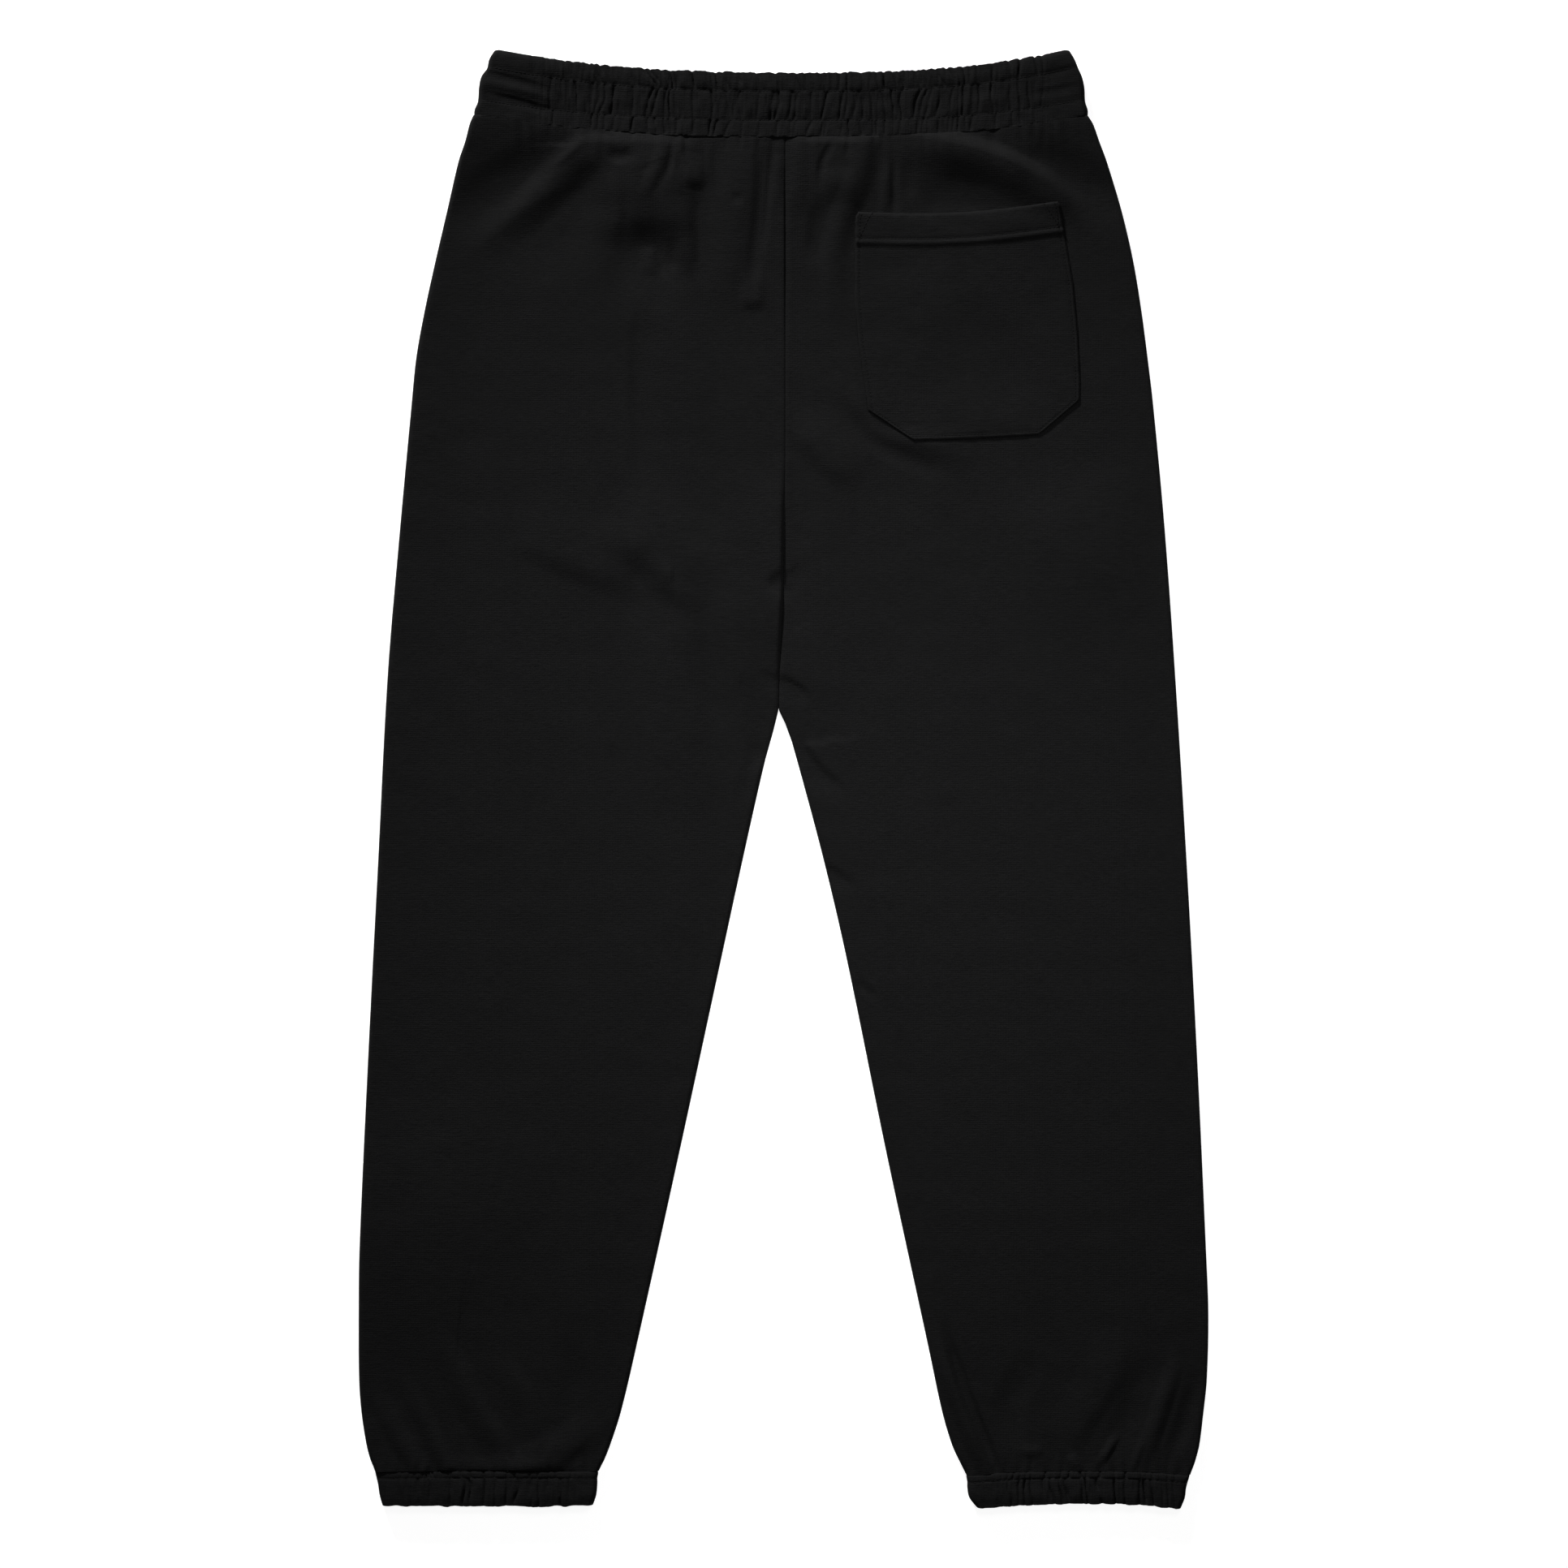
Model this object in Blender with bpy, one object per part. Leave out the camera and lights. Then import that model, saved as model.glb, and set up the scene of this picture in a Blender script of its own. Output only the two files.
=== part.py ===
"""Jogger sweatpants laid flat with the back side up.

Two back legs lie on two front legs. They meet along the side seams, the centre seam and the
inner leg seams, and below the crotch each leg is a flattened tube. A gathered elastic waistband
and two elastic cuffs are flattened rings, and a patch pocket lies on the wearer's right seat.

The tables are in millimetres: x runs from the wearer's left (minus) to the right (plus), and
"down" is the distance below the top corners of the waistband. The garment lies on z = 0.
"""
import math
import random
from typing import NamedTuple

import bmesh
import bpy

MM = 0.001

# ---- overall sizes, millimetres ------------------------------------------------------------
LENGTH = 1040.0          # top corners of the waistband to the lowest point of the cuffs
WALL = 2.2               # heavy brushed fleece
GAP = 0.3                # clearance at every seam
AIR = 2.6                # between the back and the front cloth
BACK_TOP = 2 * WALL + AIR
LOWEST_BACK = 2 * WALL + GAP
WAIST_PUFF = 1.0         # gathered cloth stands higher below the waistband
WAIST_PUFF_LENGTH = 150.0
CUFF_PUFF = 0.9          # and above the cuffs
CUFF_PUFF_FROM = 965.0
EDGE_MIDDLE = 3.7        # height of the seam round the edge of a leg
EDGE_ROUND = 5.2         # how far in from the edge the cloth has turned flat
SIDE_SWELL = {-1: 2.8, 1: -0.9}    # the left side seam stands up a little, the right one sinks
SIDE_SWELL_WIDTH = 54.0
INNER_SWELL = {-1: 0.5, 1: -0.3}    # rise of a leg's inner edge below the crotch
INNER_SWELL_WIDTH = 26.0
BAND_WALL = 3.6          # two layers of cloth round elastic
BAND_AIR = 1.2
BAND_TOP = 2 * BAND_WALL + BAND_AIR
LEG_OPENS = (300.0, 376.0)    # stretch where the butted centre seam turns into two leg edges
CROTCH_APEX = 471.0      # where the pressed legs part
SAG_POWERS = {-1: 2.3, 1: 2.8}     # shape of the waist's curve left and right of its middle
PACKED_ROWS = 120.0      # rows of points below the waist follow its curve this far down
CUFF_ROWS = 60.0         # and rows above a cuff follow its curve from here
FIRST_ROW = 61.8
LAST_ROW = 1013.1

PANEL_COLUMNS = 25
FOLD_LEAST = 9.0         # least reach of a fold's side that the panel's points can follow
FRONT_COLUMNS = 6


class Edge(NamedTuple):
    """Left and right edges of the garment at one distance below the waist."""
    down: float
    left: float
    right: float


class Fold(NamedTuple):
    """A ridge (plus height) or a trough along (x, down) points, highest at a fraction of it.

    Its two sides may reach differently far: upper is the side on the left of a line drawn
    downwards, or above a line drawn leftwards, and lower is the other side.
    """
    line: tuple
    upper: float
    lower: float
    height: float
    peak: float


class Ring(NamedTuple):
    """One ring of a band: its distance below the waist, its edges, gathers and rise."""
    side_down: float
    middle_down: float
    left: float
    right: float
    gather: float
    rise: float


class PocketRow(NamedTuple):
    """A line across the pocket, its sag in the middle and the thickness of cloth there."""
    left: float
    left_down: float
    right: float
    right_down: float
    sag: float
    thick: float


OUTSEAM = [
    Edge(46.4, -221.8, 217.8), Edge(52.2, -224.2, 221.3), Edge(65.0, -227.6, 225.9),
    Edge(78.9, -232.3, 231.1), Edge(113.7, -240.4, 241.6), Edge(148.5, -248.5, 249.7),
    Edge(183.3, -256.1, 255.5), Edge(218.1, -262.4, 260.1), Edge(252.9, -265.9, 264.2),
    Edge(339.9, -274.0, 272.3), Edge(444.3, -282.8, 279.8), Edge(577.7, -289.7, 288.0),
    Edge(716.9, -296.8, 295.5), Edge(856.1, -303.0, 301.9), Edge(902.5, -303.6, 303.6),
    Edge(948.9, -303.3, 302.5), Edge(972.1, -301.6, 300.1), Edge(995.3, -298.0, 297.2),
    Edge(1005.7, -295.2, 294.6), Edge(1011.0, -293.0, 292.8), Edge(1016.0, -291.4, 290.8),
]
INSEAM = [
    Edge(471.0, -3.8, -3.2), Edge(484.9, -7.2, 3.2), Edge(508.1, -13.6, 10.1),
    Edge(577.7, -29.3, 28.7), Edge(647.3, -44.4, 44.9), Edge(786.5, -74.5, 73.4),
    Edge(925.7, -105.3, 103.5), Edge(972.1, -116.3, 113.4), Edge(995.3, -123.8, 120.3),
    Edge(1005.7, -127.9, 125.0), Edge(1013.8, -131.9, 129.6), Edge(1017.0, -132.4, 130.4),
]
CENTRE_SEAM = [
    (46.0, 1.2), (287.7, 1.2), (345.7, 0.3), (392.1, -0.6), (421.1, -2.0), (444.3, -3.2),
    (471.0, -3.5),
]

BACK_ROWS = [
    FIRST_ROW, 68, 75, 83, 91, 99, 107, 116, 125, 134, 144, 156, 170, 184, 200, 220, 240, 256, 272,
    286, 300, 318, 338, 356, 374, 396, 420, 446, 471, 486, 502, 520, 545, 590, 680, 790, 890, 920,
    938, 954, 968, 982, 994, 1005, LAST_ROW,
]
FRONT_ROWS = [
    FIRST_ROW, 80, 120, 180, 240, 300, 352, 380, 410, 440, 471, 490, 530, 600, 700, 800, 900, 960,
    985, 1000, LAST_ROW,
]

BACK_FOLDS = [
    # below the waistband, left of the centre seam
    Fold(((-136, 44), (-190, 44), (-232, 56), (-264, 88)), 10, 44, 4.6, 0.55),
    Fold(((-140, 74), (-172, 84), (-206, 106), (-240, 136)), 28, 20, -3.0, 0.5),
    Fold(((-112, 60), (-138, 74), (-168, 98), (-200, 132)), 16, 18, 2.4, 0.45),
    Fold(((-116, 90), (-148, 104), (-178, 130), (-208, 164)), 20, 44, -2.8, 0.5),
    Fold(((-124, 84), (-121, 112), (-124, 142)), 26, 10, 2.0, 0.5),
    Fold(((-56, 72), (-90, 70), (-126, 72)), 12, 42, 2.6, 0.5),
    Fold(((-58, 111), (-84, 105), (-110, 105), (-136, 111)), 40, 38, 5.8, 0.5),
    Fold(((-58, 157), (-84, 153), (-98, 148), (-112, 153), (-138, 157)), 34, 56, -3.4, 0.5),
    Fold(((-84, 64), (-90, 84), (-100, 108)), 8, 6, 1.5, 0.5),
    Fold(((-54, 91), (-74, 91)), 18, 10, 1.9, 0.5),
    Fold(((-72, 104), (-70, 130), (-69, 166)), 22, 10, 3.2, 0.45),
    Fold(((-100, 160), (-104, 240), (-100, 316)), 9, 20, -1.3, 0.5),
    Fold(((-84, 170), (-60, 250), (-58, 300)), 40, 22, 1.6, 0.2),
    Fold(((-24, 66), (-32, 104), (-40, 160), (-42, 196)), 24, 20, 2.6, 0.4),
    Fold(((-16, 66), (-17, 110), (-24, 176)), 7, 8, -1.6, 0.45),
    Fold(((-12, 177), (-32, 177)), 26, 10, 1.9, 0.5),
    # below the waistband, right of the centre seam
    Fold(((10, 64), (9, 120)), 9, 10, 1.8, 0.4),
    Fold(((60, 68), (6, 68)), 8, 56, 2.6, 0.5),
    Fold(((54, 95), (26, 95)), 14, 16, 1.8, 0.5),
    Fold(((60, 66), (54, 92), (42, 120), (36, 150), (38, 200)), 12, 12, 2.4, 0.3),
    Fold(((74, 76), (72, 114)), 5, 6, 1.2, 0.6),
    Fold(((214, 118), (184, 94), (150, 77), (112, 66), (64, 60)), 13, 26, 4.8, 0.5),
    Fold(((202, 138), (164, 115), (128, 98), (70, 78)), 24, 44, -3.2, 0.5),
    Fold(((206, 112), (194, 94), (180, 76)), 7, 9, 1.0, 0.5),
    Fold(((150, 110), (122, 102), (96, 100)), 16, 18, -1.0, 0.5),
    Fold(((206, 124), (194, 98), (180, 72)), 10, 16, 1.6, 0.45),
    Fold(((266, 86), (232, 56), (196, 44), (146, 44)), 10, 42, 4.0, 0.45),
    Fold(((250, 126), (220, 100), (190, 84), (160, 74)), 24, 22, -2.6, 0.5),
    # round the seat, the crotch and the thighs
    Fold(((140, 292), (100, 278), (78, 268), (58, 254), (47, 238)), 34, 15, 3.0, 0.55),
    Fold(((122, 304), (96, 296), (74, 286), (56, 272), (43, 254)), 9, 8, -1.0, 0.55),
    Fold(((56, 308), (36, 294), (20, 276), (13, 256)), 26, 16, 2.8, 0.5),
    Fold(((-56, 398), (-76, 376), (-100, 350), (-130, 332)), 50, 24, 4.0, 0.5),
    Fold(((-62, 420), (-84, 394), (-116, 364)), 20, 34, -1.6, 0.5),
    Fold(((-104, 380), (-150, 363), (-198, 343)), 40, 17, 2.2, 0.45),
    Fold(((-10, 446), (-48, 412), (-84, 382)), 50, 36, 1.6, 0.5),
    Fold(((-78, 396), (-74, 460), (-62, 550)), 40, 24, 3.2, 0.3),
    Fold(((266, 344), (214, 348), (160, 362)), 60, 80, 3.4, 0.5),
    # above the left cuff
    Fold(((-180, 858), (-226, 842), (-274, 850), (-312, 856)), 110, 110, 3.8, 0.6),
    Fold(((-292, 950), (-280, 978), (-260, 1012)), 10, 9, 2.0, 0.7),
    Fold(((-270, 946), (-256, 976), (-240, 1010)), 10, 8, 2.4, 0.7),
    Fold(((-248, 908), (-232, 940), (-220, 966), (-200, 998)), 16, 10, 2.4, 0.6),
    Fold(((-200, 930), (-184, 962), (-176, 990)), 16, 10, 2.0, 0.6),
    Fold(((-160, 916), (-150, 944), (-152, 976)), 12, 12, -1.8, 0.5),
    Fold(((-124, 962), (-148, 986), (-182, 1008)), 16, 18, 1.8, 0.5),
    # above the right cuff
    Fold(((104, 922), (116, 946), (128, 974), (148, 1010)), 10, 11, 2.8, 0.5),
    Fold(((122, 924), (136, 956), (152, 984), (176, 1008)), 14, 15, -1.8, 0.5),
    Fold(((174, 942), (162, 968), (168, 1000)), 16, 14, -1.4, 0.4),
    Fold(((244, 900), (232, 944), (214, 976), (196, 1004)), 30, 18, 1.8, 0.5),
    Fold(((268, 926), (250, 964), (236, 1008)), 14, 16, -1.5, 0.5),
    Fold(((282, 930), (270, 968), (256, 1010)), 9, 8, 2.2, 0.5),
    Fold(((296, 940), (286, 980), (272, 1012)), 9, 9, -1.6, 0.5),
]

WAISTBAND = [
    Ring(0.0, 15.7, -206.8, 204.5, 0.55, -1.0),
    Ring(6.0, 21.8, -210.3, 208.0, 1.0, 0.2),
    Ring(12.8, 28.9, -212.0, 210.8, 0.3, -0.7),
    Ring(18.0, 33.6, -215.8, 213.1, 1.0, 0.2),
    Ring(26.0, 41.0, -217.6, 214.9, 1.0, 0.1),
    Ring(36.0, 49.5, -218.4, 215.5, 0.3, -0.6),
    Ring(42.0, 55.8, -220.8, 217.3, 0.9, 0.2),
    Ring(46.7, 61.5, -220.9, 217.3, 0.4, 0.2),
]
LEFT_CUFF = [
    Ring(1013.7, 1013.4, -291.9, -132.8, 0.4, 0.0),
    Ring(1015.4, 1015.2, -291.6, -132.4, 0.8, 0.7),
    Ring(1018.8, 1018.4, -290.8, -133.0, 0.5, 0.5),
    Ring(1023.0, 1023.0, -289.8, -133.0, 1.0, 0.5),
    Ring(1031.0, 1031.0, -288.6, -133.8, 0.9, 0.3),
    Ring(1038.0, 1038.2, -286.6, -136.0, 0.5, -0.6),
]
RIGHT_CUFF = [
    Ring(1016.4, 1013.4, 130.6, 290.2, 0.4, 0.0),
    Ring(1018.2, 1015.2, 130.6, 289.8, 0.8, 0.7),
    Ring(1021.6, 1018.4, 131.2, 288.8, 0.5, 0.5),
    Ring(1026.0, 1023.2, 131.2, 287.6, 1.0, 0.5),
    Ring(1033.2, 1030.4, 132.8, 286.6, 0.9, 0.3),
    Ring(1040.0, 1036.4, 138.0, 283.8, 0.5, -0.6),
]
CUFFS = {-1: LEFT_CUFF, 1: RIGHT_CUFF}

POCKET = [
    PocketRow(53.4, 115.0, 195.4, 108.0, 3.8, 1.5),
    PocketRow(51.4, 118.6, 197.0, 110.9, 3.9, 2.5),
    PocketRow(51.0, 137.2, 200.2, 129.1, 4.0, 2.5),
    PocketRow(50.9, 141.2, 200.9, 133.1, 4.0, 1.6),
    PocketRow(50.9, 174.6, 206.6, 165.9, 3.0, 1.6),
    PocketRow(53.2, 207.0, 210.0, 200.7, 2.0, 1.6),
    PocketRow(58.2, 240.0, 211.6, 234.5, 1.2, 1.6),
    PocketRow(60.2, 256.4, 211.3, 249.2, 1.0, 1.6),
    PocketRow(89.8, 276.2, 184.4, 272.0, 0.6, 1.4),
    PocketRow(93.4, 278.4, 180.4, 274.2, 0.5, 1.0),
]
POCKET_COLUMNS = 9
POCKET_LIFT = 0.45       # the pocket's clearance over the panel
POCKET_PUFF = 1.1        # the pocket stands off the panel in its middle
POCKET_CALM = (48.0, 215.0, 106.0, 282.0)   # left, right, top and bottom of the flat seat under it
CALM_EDGE = 9.0

WAIST_GATHERS = 46
WAIST_GATHER_SPAN = (-186.0, 190.0)
WAIST_GATHER_HEIGHT = 1.5
CUFF_GATHERS = 21
CUFF_GATHER_MARGIN = 9.0
CUFF_GATHER_HEIGHT = 1.25
GATHER_SHAPE = (0.75, 1.0, -1.0)     # heights at the three columns of one gather
GATHER_PLACES = (0.12, 0.5, 0.86)    # where those columns stand in it


# ---- reading the tables --------------------------------------------------------------------
def smooth_step(low, high, value):
    """0 below low, 1 above high and a soft rise between them."""
    t = min(1.0, max(0.0, (value - low) / (high - low)))
    return t * t * (3.0 - 2.0 * t)


def read_curve(points, at):
    """Value at one place of a smooth curve through (place, value) points."""
    if at <= points[0][0]:
        return points[0][1]
    if at >= points[-1][0]:
        return points[-1][1]
    k = max(i for i in range(len(points) - 1) if points[i][0] <= at)

    def slope(i):
        a, b = points[max(0, i - 1)], points[min(len(points) - 1, i + 1)]
        return (b[1] - a[1]) / (b[0] - a[0])

    (x0, y0), (x1, y1) = points[k], points[k + 1]
    step = x1 - x0
    t = (at - x0) / step
    return ((1 + 2 * t) * (1 - t) ** 2 * y0 + t * (1 - t) ** 2 * step * slope(k)
            + t * t * (3 - 2 * t) * y1 + t * t * (t - 1) * step * slope(k + 1))


def edge_curve(table, side):
    """(down, x) points of one side of an edge table; side is -1 for left and 1 for right."""
    return [(row.down, row.left if side < 0 else row.right) for row in table]


OUTER_CURVE = {side: edge_curve(OUTSEAM, side) for side in (-1, 1)}
INNER_CURVE = {side: edge_curve(INSEAM, side) for side in (-1, 1)}


def outer_edge(side, down):
    """x of the side seam."""
    return read_curve(OUTER_CURVE[side], down)


def inner_edge(side, down):
    """x of the centre seam, or of the inner leg seam below the crotch."""
    if down <= CROTCH_APEX:
        return read_curve(CENTRE_SEAM, down) + side * GAP / 2
    return read_curve(INNER_CURVE[side], down)


def middle_share(across):
    """1 in the middle of the waist or a cuff and 0 at its sides."""
    power = SAG_POWERS[1 if across > 0 else -1]
    return 1.0 - min(1.0, abs(across)) ** power


def ring_across(ring, x):
    """Fraction between a ring's edges, -1 to 1, at x."""
    centre, half = (ring.left + ring.right) / 2, (ring.right - ring.left) / 2
    return (x - centre) / (half - BAND_TOP / 2)


def row_down(x, middle_down):
    """Distance below the waist, at x, of a row of points named by its middle."""
    seam = WAISTBAND[-1]
    lift = (seam.middle_down - seam.side_down) * (1.0 - middle_share(ring_across(seam, x)))
    near_waist = max(0.0, 1.0 - (middle_down - seam.middle_down) / PACKED_ROWS)
    cuff = CUFFS[1 if x > 0 else -1][0]
    drop = (cuff.side_down - cuff.middle_down) * (1.0 - middle_share(ring_across(cuff, x)))
    near_cuff = max(0.0, 1.0 - (LAST_ROW - middle_down) / CUFF_ROWS)
    return middle_down - lift * near_waist + drop * near_cuff


# ---- the height of the back cloth ----------------------------------------------------------
def smooth_line(points, steps=5):
    """A fold's line with more points, on a smooth curve through the given ones."""
    if len(points) < 3:
        return list(points)
    xs = [(k, point[0]) for k, point in enumerate(points)]
    downs = [(k, point[1]) for k, point in enumerate(points)]
    places = [k / steps for k in range((len(points) - 1) * steps + 1)]
    return [(read_curve(xs, place), read_curve(downs, place)) for place in places]


FOLD_LINES = [smooth_line(fold.line) for fold in BACK_FOLDS]


def nearest_on_line(line, x, down):
    """Distance to a line, whether on its upper side, and the fraction of it that is nearest."""
    lengths = [math.dist(a, b) for a, b in zip(line, line[1:])]
    whole, passed = sum(lengths), 0.0
    best, best_along, upper = math.inf, 0.0, True
    for (x1, down1), (x2, down2), length in zip(line, line[1:], lengths):
        t = ((x - x1) * (x2 - x1) + (down - down1) * (down2 - down1)) / length ** 2
        t = min(1.0, max(0.0, t))
        distance = math.hypot(x - x1 - t * (x2 - x1), down - down1 - t * (down2 - down1))
        if distance < best:
            best, best_along = distance, (passed + t * length) / whole
            upper = (x2 - x1) * (down - down1) >= (down2 - down1) * (x - x1)
        passed += length
    return best, upper, best_along


def fold_height(fold, line, x, down):
    """Height that one fold adds at a point."""
    reach = max(fold.upper, fold.lower, FOLD_LEAST)
    if not (min(p[0] for p in line) - reach < x < max(p[0] for p in line) + reach
            and min(p[1] for p in line) - reach < down < max(p[1] for p in line) + reach):
        return 0.0
    distance, upper, along = nearest_on_line(line, x, down)
    share = distance / max(fold.upper if upper else fold.lower, FOLD_LEAST)
    if share >= 1.0:
        return 0.0
    longest = max(fold.peak, 1.0 - fold.peak)
    fade = 1.0 - smooth_step(0.25, 1.1, abs(along - fold.peak) / longest)
    return fold.height * fade * (1.0 - share ** 2) ** 2


def pocket_calm(x, down):
    """0 under the pocket, where the seat lies flat, and 1 away from it."""
    left, right, top, bottom = POCKET_CALM
    outside = max(left - x, x - right, top - down, down - bottom)
    return smooth_step(0.0, CALM_EDGE, outside)


def back_height(side, x, down):
    """Height of the back cloth's outer side."""
    height = BACK_TOP
    below_seam = down - row_down(x, WAISTBAND[-1].middle_down)
    height += WAIST_PUFF * (1.0 - smooth_step(0.0, WAIST_PUFF_LENGTH, below_seam))
    height += CUFF_PUFF * smooth_step(CUFF_PUFF_FROM, LAST_ROW, down)
    to_side = abs(x - outer_edge(side, down))
    to_inner = abs(x - inner_edge(side, down))
    height += SIDE_SWELL[side] * max(0.0, 1.0 - to_side / SIDE_SWELL_WIDTH) ** 2
    legs = smooth_step(LEG_OPENS[0], CROTCH_APEX, down)
    height += INNER_SWELL[side] * legs * max(0.0, 1.0 - to_inner / INNER_SWELL_WIDTH) ** 2
    folds = sum(fold_height(fold, line, x, down) for fold, line in zip(BACK_FOLDS, FOLD_LINES))
    height += pocket_calm(x, down) * folds
    return max(height, LOWEST_BACK)


# ---- meshes --------------------------------------------------------------------------------
def place(x, down, z):
    """Metres in the part's frame, from the millimetres of the tables."""
    return (x * MM, (LENGTH / 2 - down) * MM, z * MM)


def wall_object(name, outer, inner, material, closed=False):
    """A closed wall between two grids of points.

    outer and inner are rows of points; every row has the same number. With closed set the
    rows are rings and the two grids may have different numbers of rows.
    """
    bm = bmesh.new()
    grids = [[[bm.verts.new(point) for point in row] for row in grid] for grid in (outer, inner)]

    def strip(first, second):
        count = len(first) if closed else len(first) - 1
        for i in range(count):
            j = (i + 1) % len(first)
            bm.faces.new((first[i], first[j], second[j], second[i]))

    for rows in (grids[0], grids[1][::-1]):
        for upper, lower in zip(rows, rows[1:]):
            strip(upper, lower)
    strip(grids[1][0], grids[0][0])
    strip(grids[0][-1], grids[1][-1])
    if not closed:
        for end in (0, -1):
            for k in range(len(outer) - 1):
                bm.faces.new((grids[0][k][end], grids[0][k + 1][end],
                              grids[1][k + 1][end], grids[1][k][end]))
    bmesh.ops.triangulate(bm, faces=bm.faces[:], quad_method="SHORT_EDGE")
    bmesh.ops.recalc_face_normals(bm, faces=bm.faces[:])
    mesh = bpy.data.meshes.new(name)
    bm.to_mesh(mesh)
    bm.free()
    mesh.materials.append(material)
    mesh.shade_smooth()
    mesh.set_sharp_from_angle(angle=math.radians(50))
    thing = bpy.data.objects.new(name, mesh)
    bpy.context.scene.collection.objects.link(thing)
    return thing


def mix(a, b, t):
    """Point between two (x, z) pairs."""
    return (a[0] + (b[0] - a[0]) * t, a[1] + (b[1] - a[1]) * t)


def leg_section(side, middle_down, back):
    """Outer and inner points of one leg panel along a row, from the side seam inwards."""
    x_out = outer_edge(side, row_down(side * LENGTH, middle_down))
    x_in = inner_edge(side, middle_down)
    x_in = inner_edge(side, row_down(x_in, middle_down))
    open_leg = smooth_step(*LEG_OPENS, middle_down)
    columns = PANEL_COLUMNS if back else FRONT_COLUMNS
    sign = 1.0 if back else -1.0
    seam_z = EDGE_MIDDLE + sign * GAP / 2

    def surface(x):
        down = row_down(x, middle_down)
        outer_z = back_height(side, x, down) if back else 0.0
        return outer_z, outer_z - sign * WALL

    # the turned edge at the side seam: a quarter of an ellipse, and its inner side
    turn = math.sqrt(0.5)
    toward = -side
    flat_x = x_out + toward * EDGE_ROUND
    top, under = surface(flat_x)
    outer = [(x_out, seam_z),
             (x_out + toward * EDGE_ROUND * (1 - turn), seam_z + (top - seam_z) * turn)]
    inner_x = x_out + toward * WALL
    inner = [(inner_x, seam_z),
             (inner_x + toward * 0.8, seam_z + (under - seam_z) * turn)]

    end_x = x_in - toward * EDGE_ROUND
    for k in range(columns):
        x = flat_x + (end_x - flat_x) * k / (columns - 1)
        top, under = surface(x)
        outer.append((x, top))
        inner.append((x, under))

    # the inner edge: a butted seam above the crotch, a turned edge below it
    butted = [(x_in - toward * 1.4, top - sign * 0.1), (x_in, top - sign * 0.6)]
    butted_inner = [(x_in - toward * 1.4, under), (x_in, under)]
    turned = [(x_in - toward * EDGE_ROUND * (1 - turn), seam_z + (top - seam_z) * turn),
              (x_in, seam_z)]
    inner_x = x_in - toward * WALL
    turned_inner = [(inner_x - toward * 0.8, seam_z + (under - seam_z) * turn),
                    (inner_x, seam_z)]
    outer += [mix(a, b, open_leg) for a, b in zip(butted, turned)]
    inner += [mix(a, b, open_leg) for a, b in zip(butted_inner, turned_inner)]
    return [[place(x, row_down(x, middle_down), z) for x, z in points]
            for points in (outer, inner)]


def leg_panel(name, side, back, material):
    """A back or front leg, from the waist seam to the cuff seam."""
    rows = BACK_ROWS if back else FRONT_ROWS
    sections = [leg_section(side, down, back) for down in rows]
    outer = [section[0] for section in sections]
    inner = [section[1] for section in sections]
    return wall_object(name, outer, inner, material)


# ---- bands ---------------------------------------------------------------------------------
class Column(NamedTuple):
    """One column of a band: x fraction between its edges (-1 to 1), angle round its edge."""
    across: float
    angle: float
    wave: float
    gather: int


def band_columns(rings, span, count, rng):
    """Columns all round a band: over the back with its gathers, then back along the front."""
    first = rings[0]
    centre, half = (first.left + first.right) / 2, (first.right - first.left) / 2
    low, high = ((edge - centre) / half for edge in span)
    widths = [rng.uniform(0.7, 1.3) for _ in range(count)]
    total = sum(widths)
    columns = [Column(-1.0, angle, 0.0, -1) for angle in (0.0, 45.0, 90.0)]
    plain = max(1, round((low + 1.0) * half / 14.0))
    columns += [Column(-1.0 + (low + 1.0) * k / plain, 90.0, 0.0, -1) for k in range(1, plain)]
    x = low
    for index, width in enumerate(widths):
        width *= (high - low) / total
        for shape, where in zip(GATHER_SHAPE, GATHER_PLACES):
            columns.append(Column(x + where * width, 90.0, shape, index))
        x += width
    columns += [Column(high + (1.0 - high) * k / plain, 90.0, 0.0, -1)
                for k in range(1, plain + 1)]
    columns += [Column(1.0, angle, 0.0, -1) for angle in (45.0, 0.0, -45.0, -90.0)]
    flat = 8
    columns += [Column(1.0 - 2.0 * k / flat, -90.0, 0.0, -1) for k in range(1, flat + 1)]
    columns += [Column(-1.0, -45.0, 0.0, -1)]
    return columns


def band_ring(ring, columns, height, strengths, wall=0.0):
    """Points of one ring; a wall above 0 gives the inner side."""
    middle = BAND_TOP / 2
    half_round = middle - wall
    points = []
    for column in columns:
        left, right = ring.left + middle, ring.right - middle
        x = left + (right - left) * (column.across + 1.0) / 2
        angle = math.radians(column.angle)
        if abs(column.angle) < 90.0:
            x += math.copysign(half_round * math.cos(angle), column.across)
        down = ring.side_down + (ring.middle_down - ring.side_down) * middle_share(column.across)
        z = middle + half_round * math.sin(angle)
        if wall == 0.0 and column.angle > 0.0:
            share = math.sin(angle)
            z += share * ring.rise
            if column.gather >= 0:
                z += height * ring.gather * strengths[column.gather] * column.wave
        points.append(place(x, down, z))
    return points


def band(name, rings, span, count, height, seed, material):
    """A flattened, gathered elastic ring."""
    rng = random.Random(seed)
    columns = band_columns(rings, span, count, rng)
    outer = []
    for ring in rings:
        strengths = [rng.uniform(0.55, 1.0) * min(1.0, 0.4 + 0.2 * min(k, count - 1 - k))
                     for k in range(count)]
        outer.append(band_ring(ring, columns, height, strengths))
    inner = [band_ring(ring, columns, 0.0, [], BAND_WALL) for ring in (rings[0], rings[-1])]
    return wall_object(name, outer, inner, material, closed=True)


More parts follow.
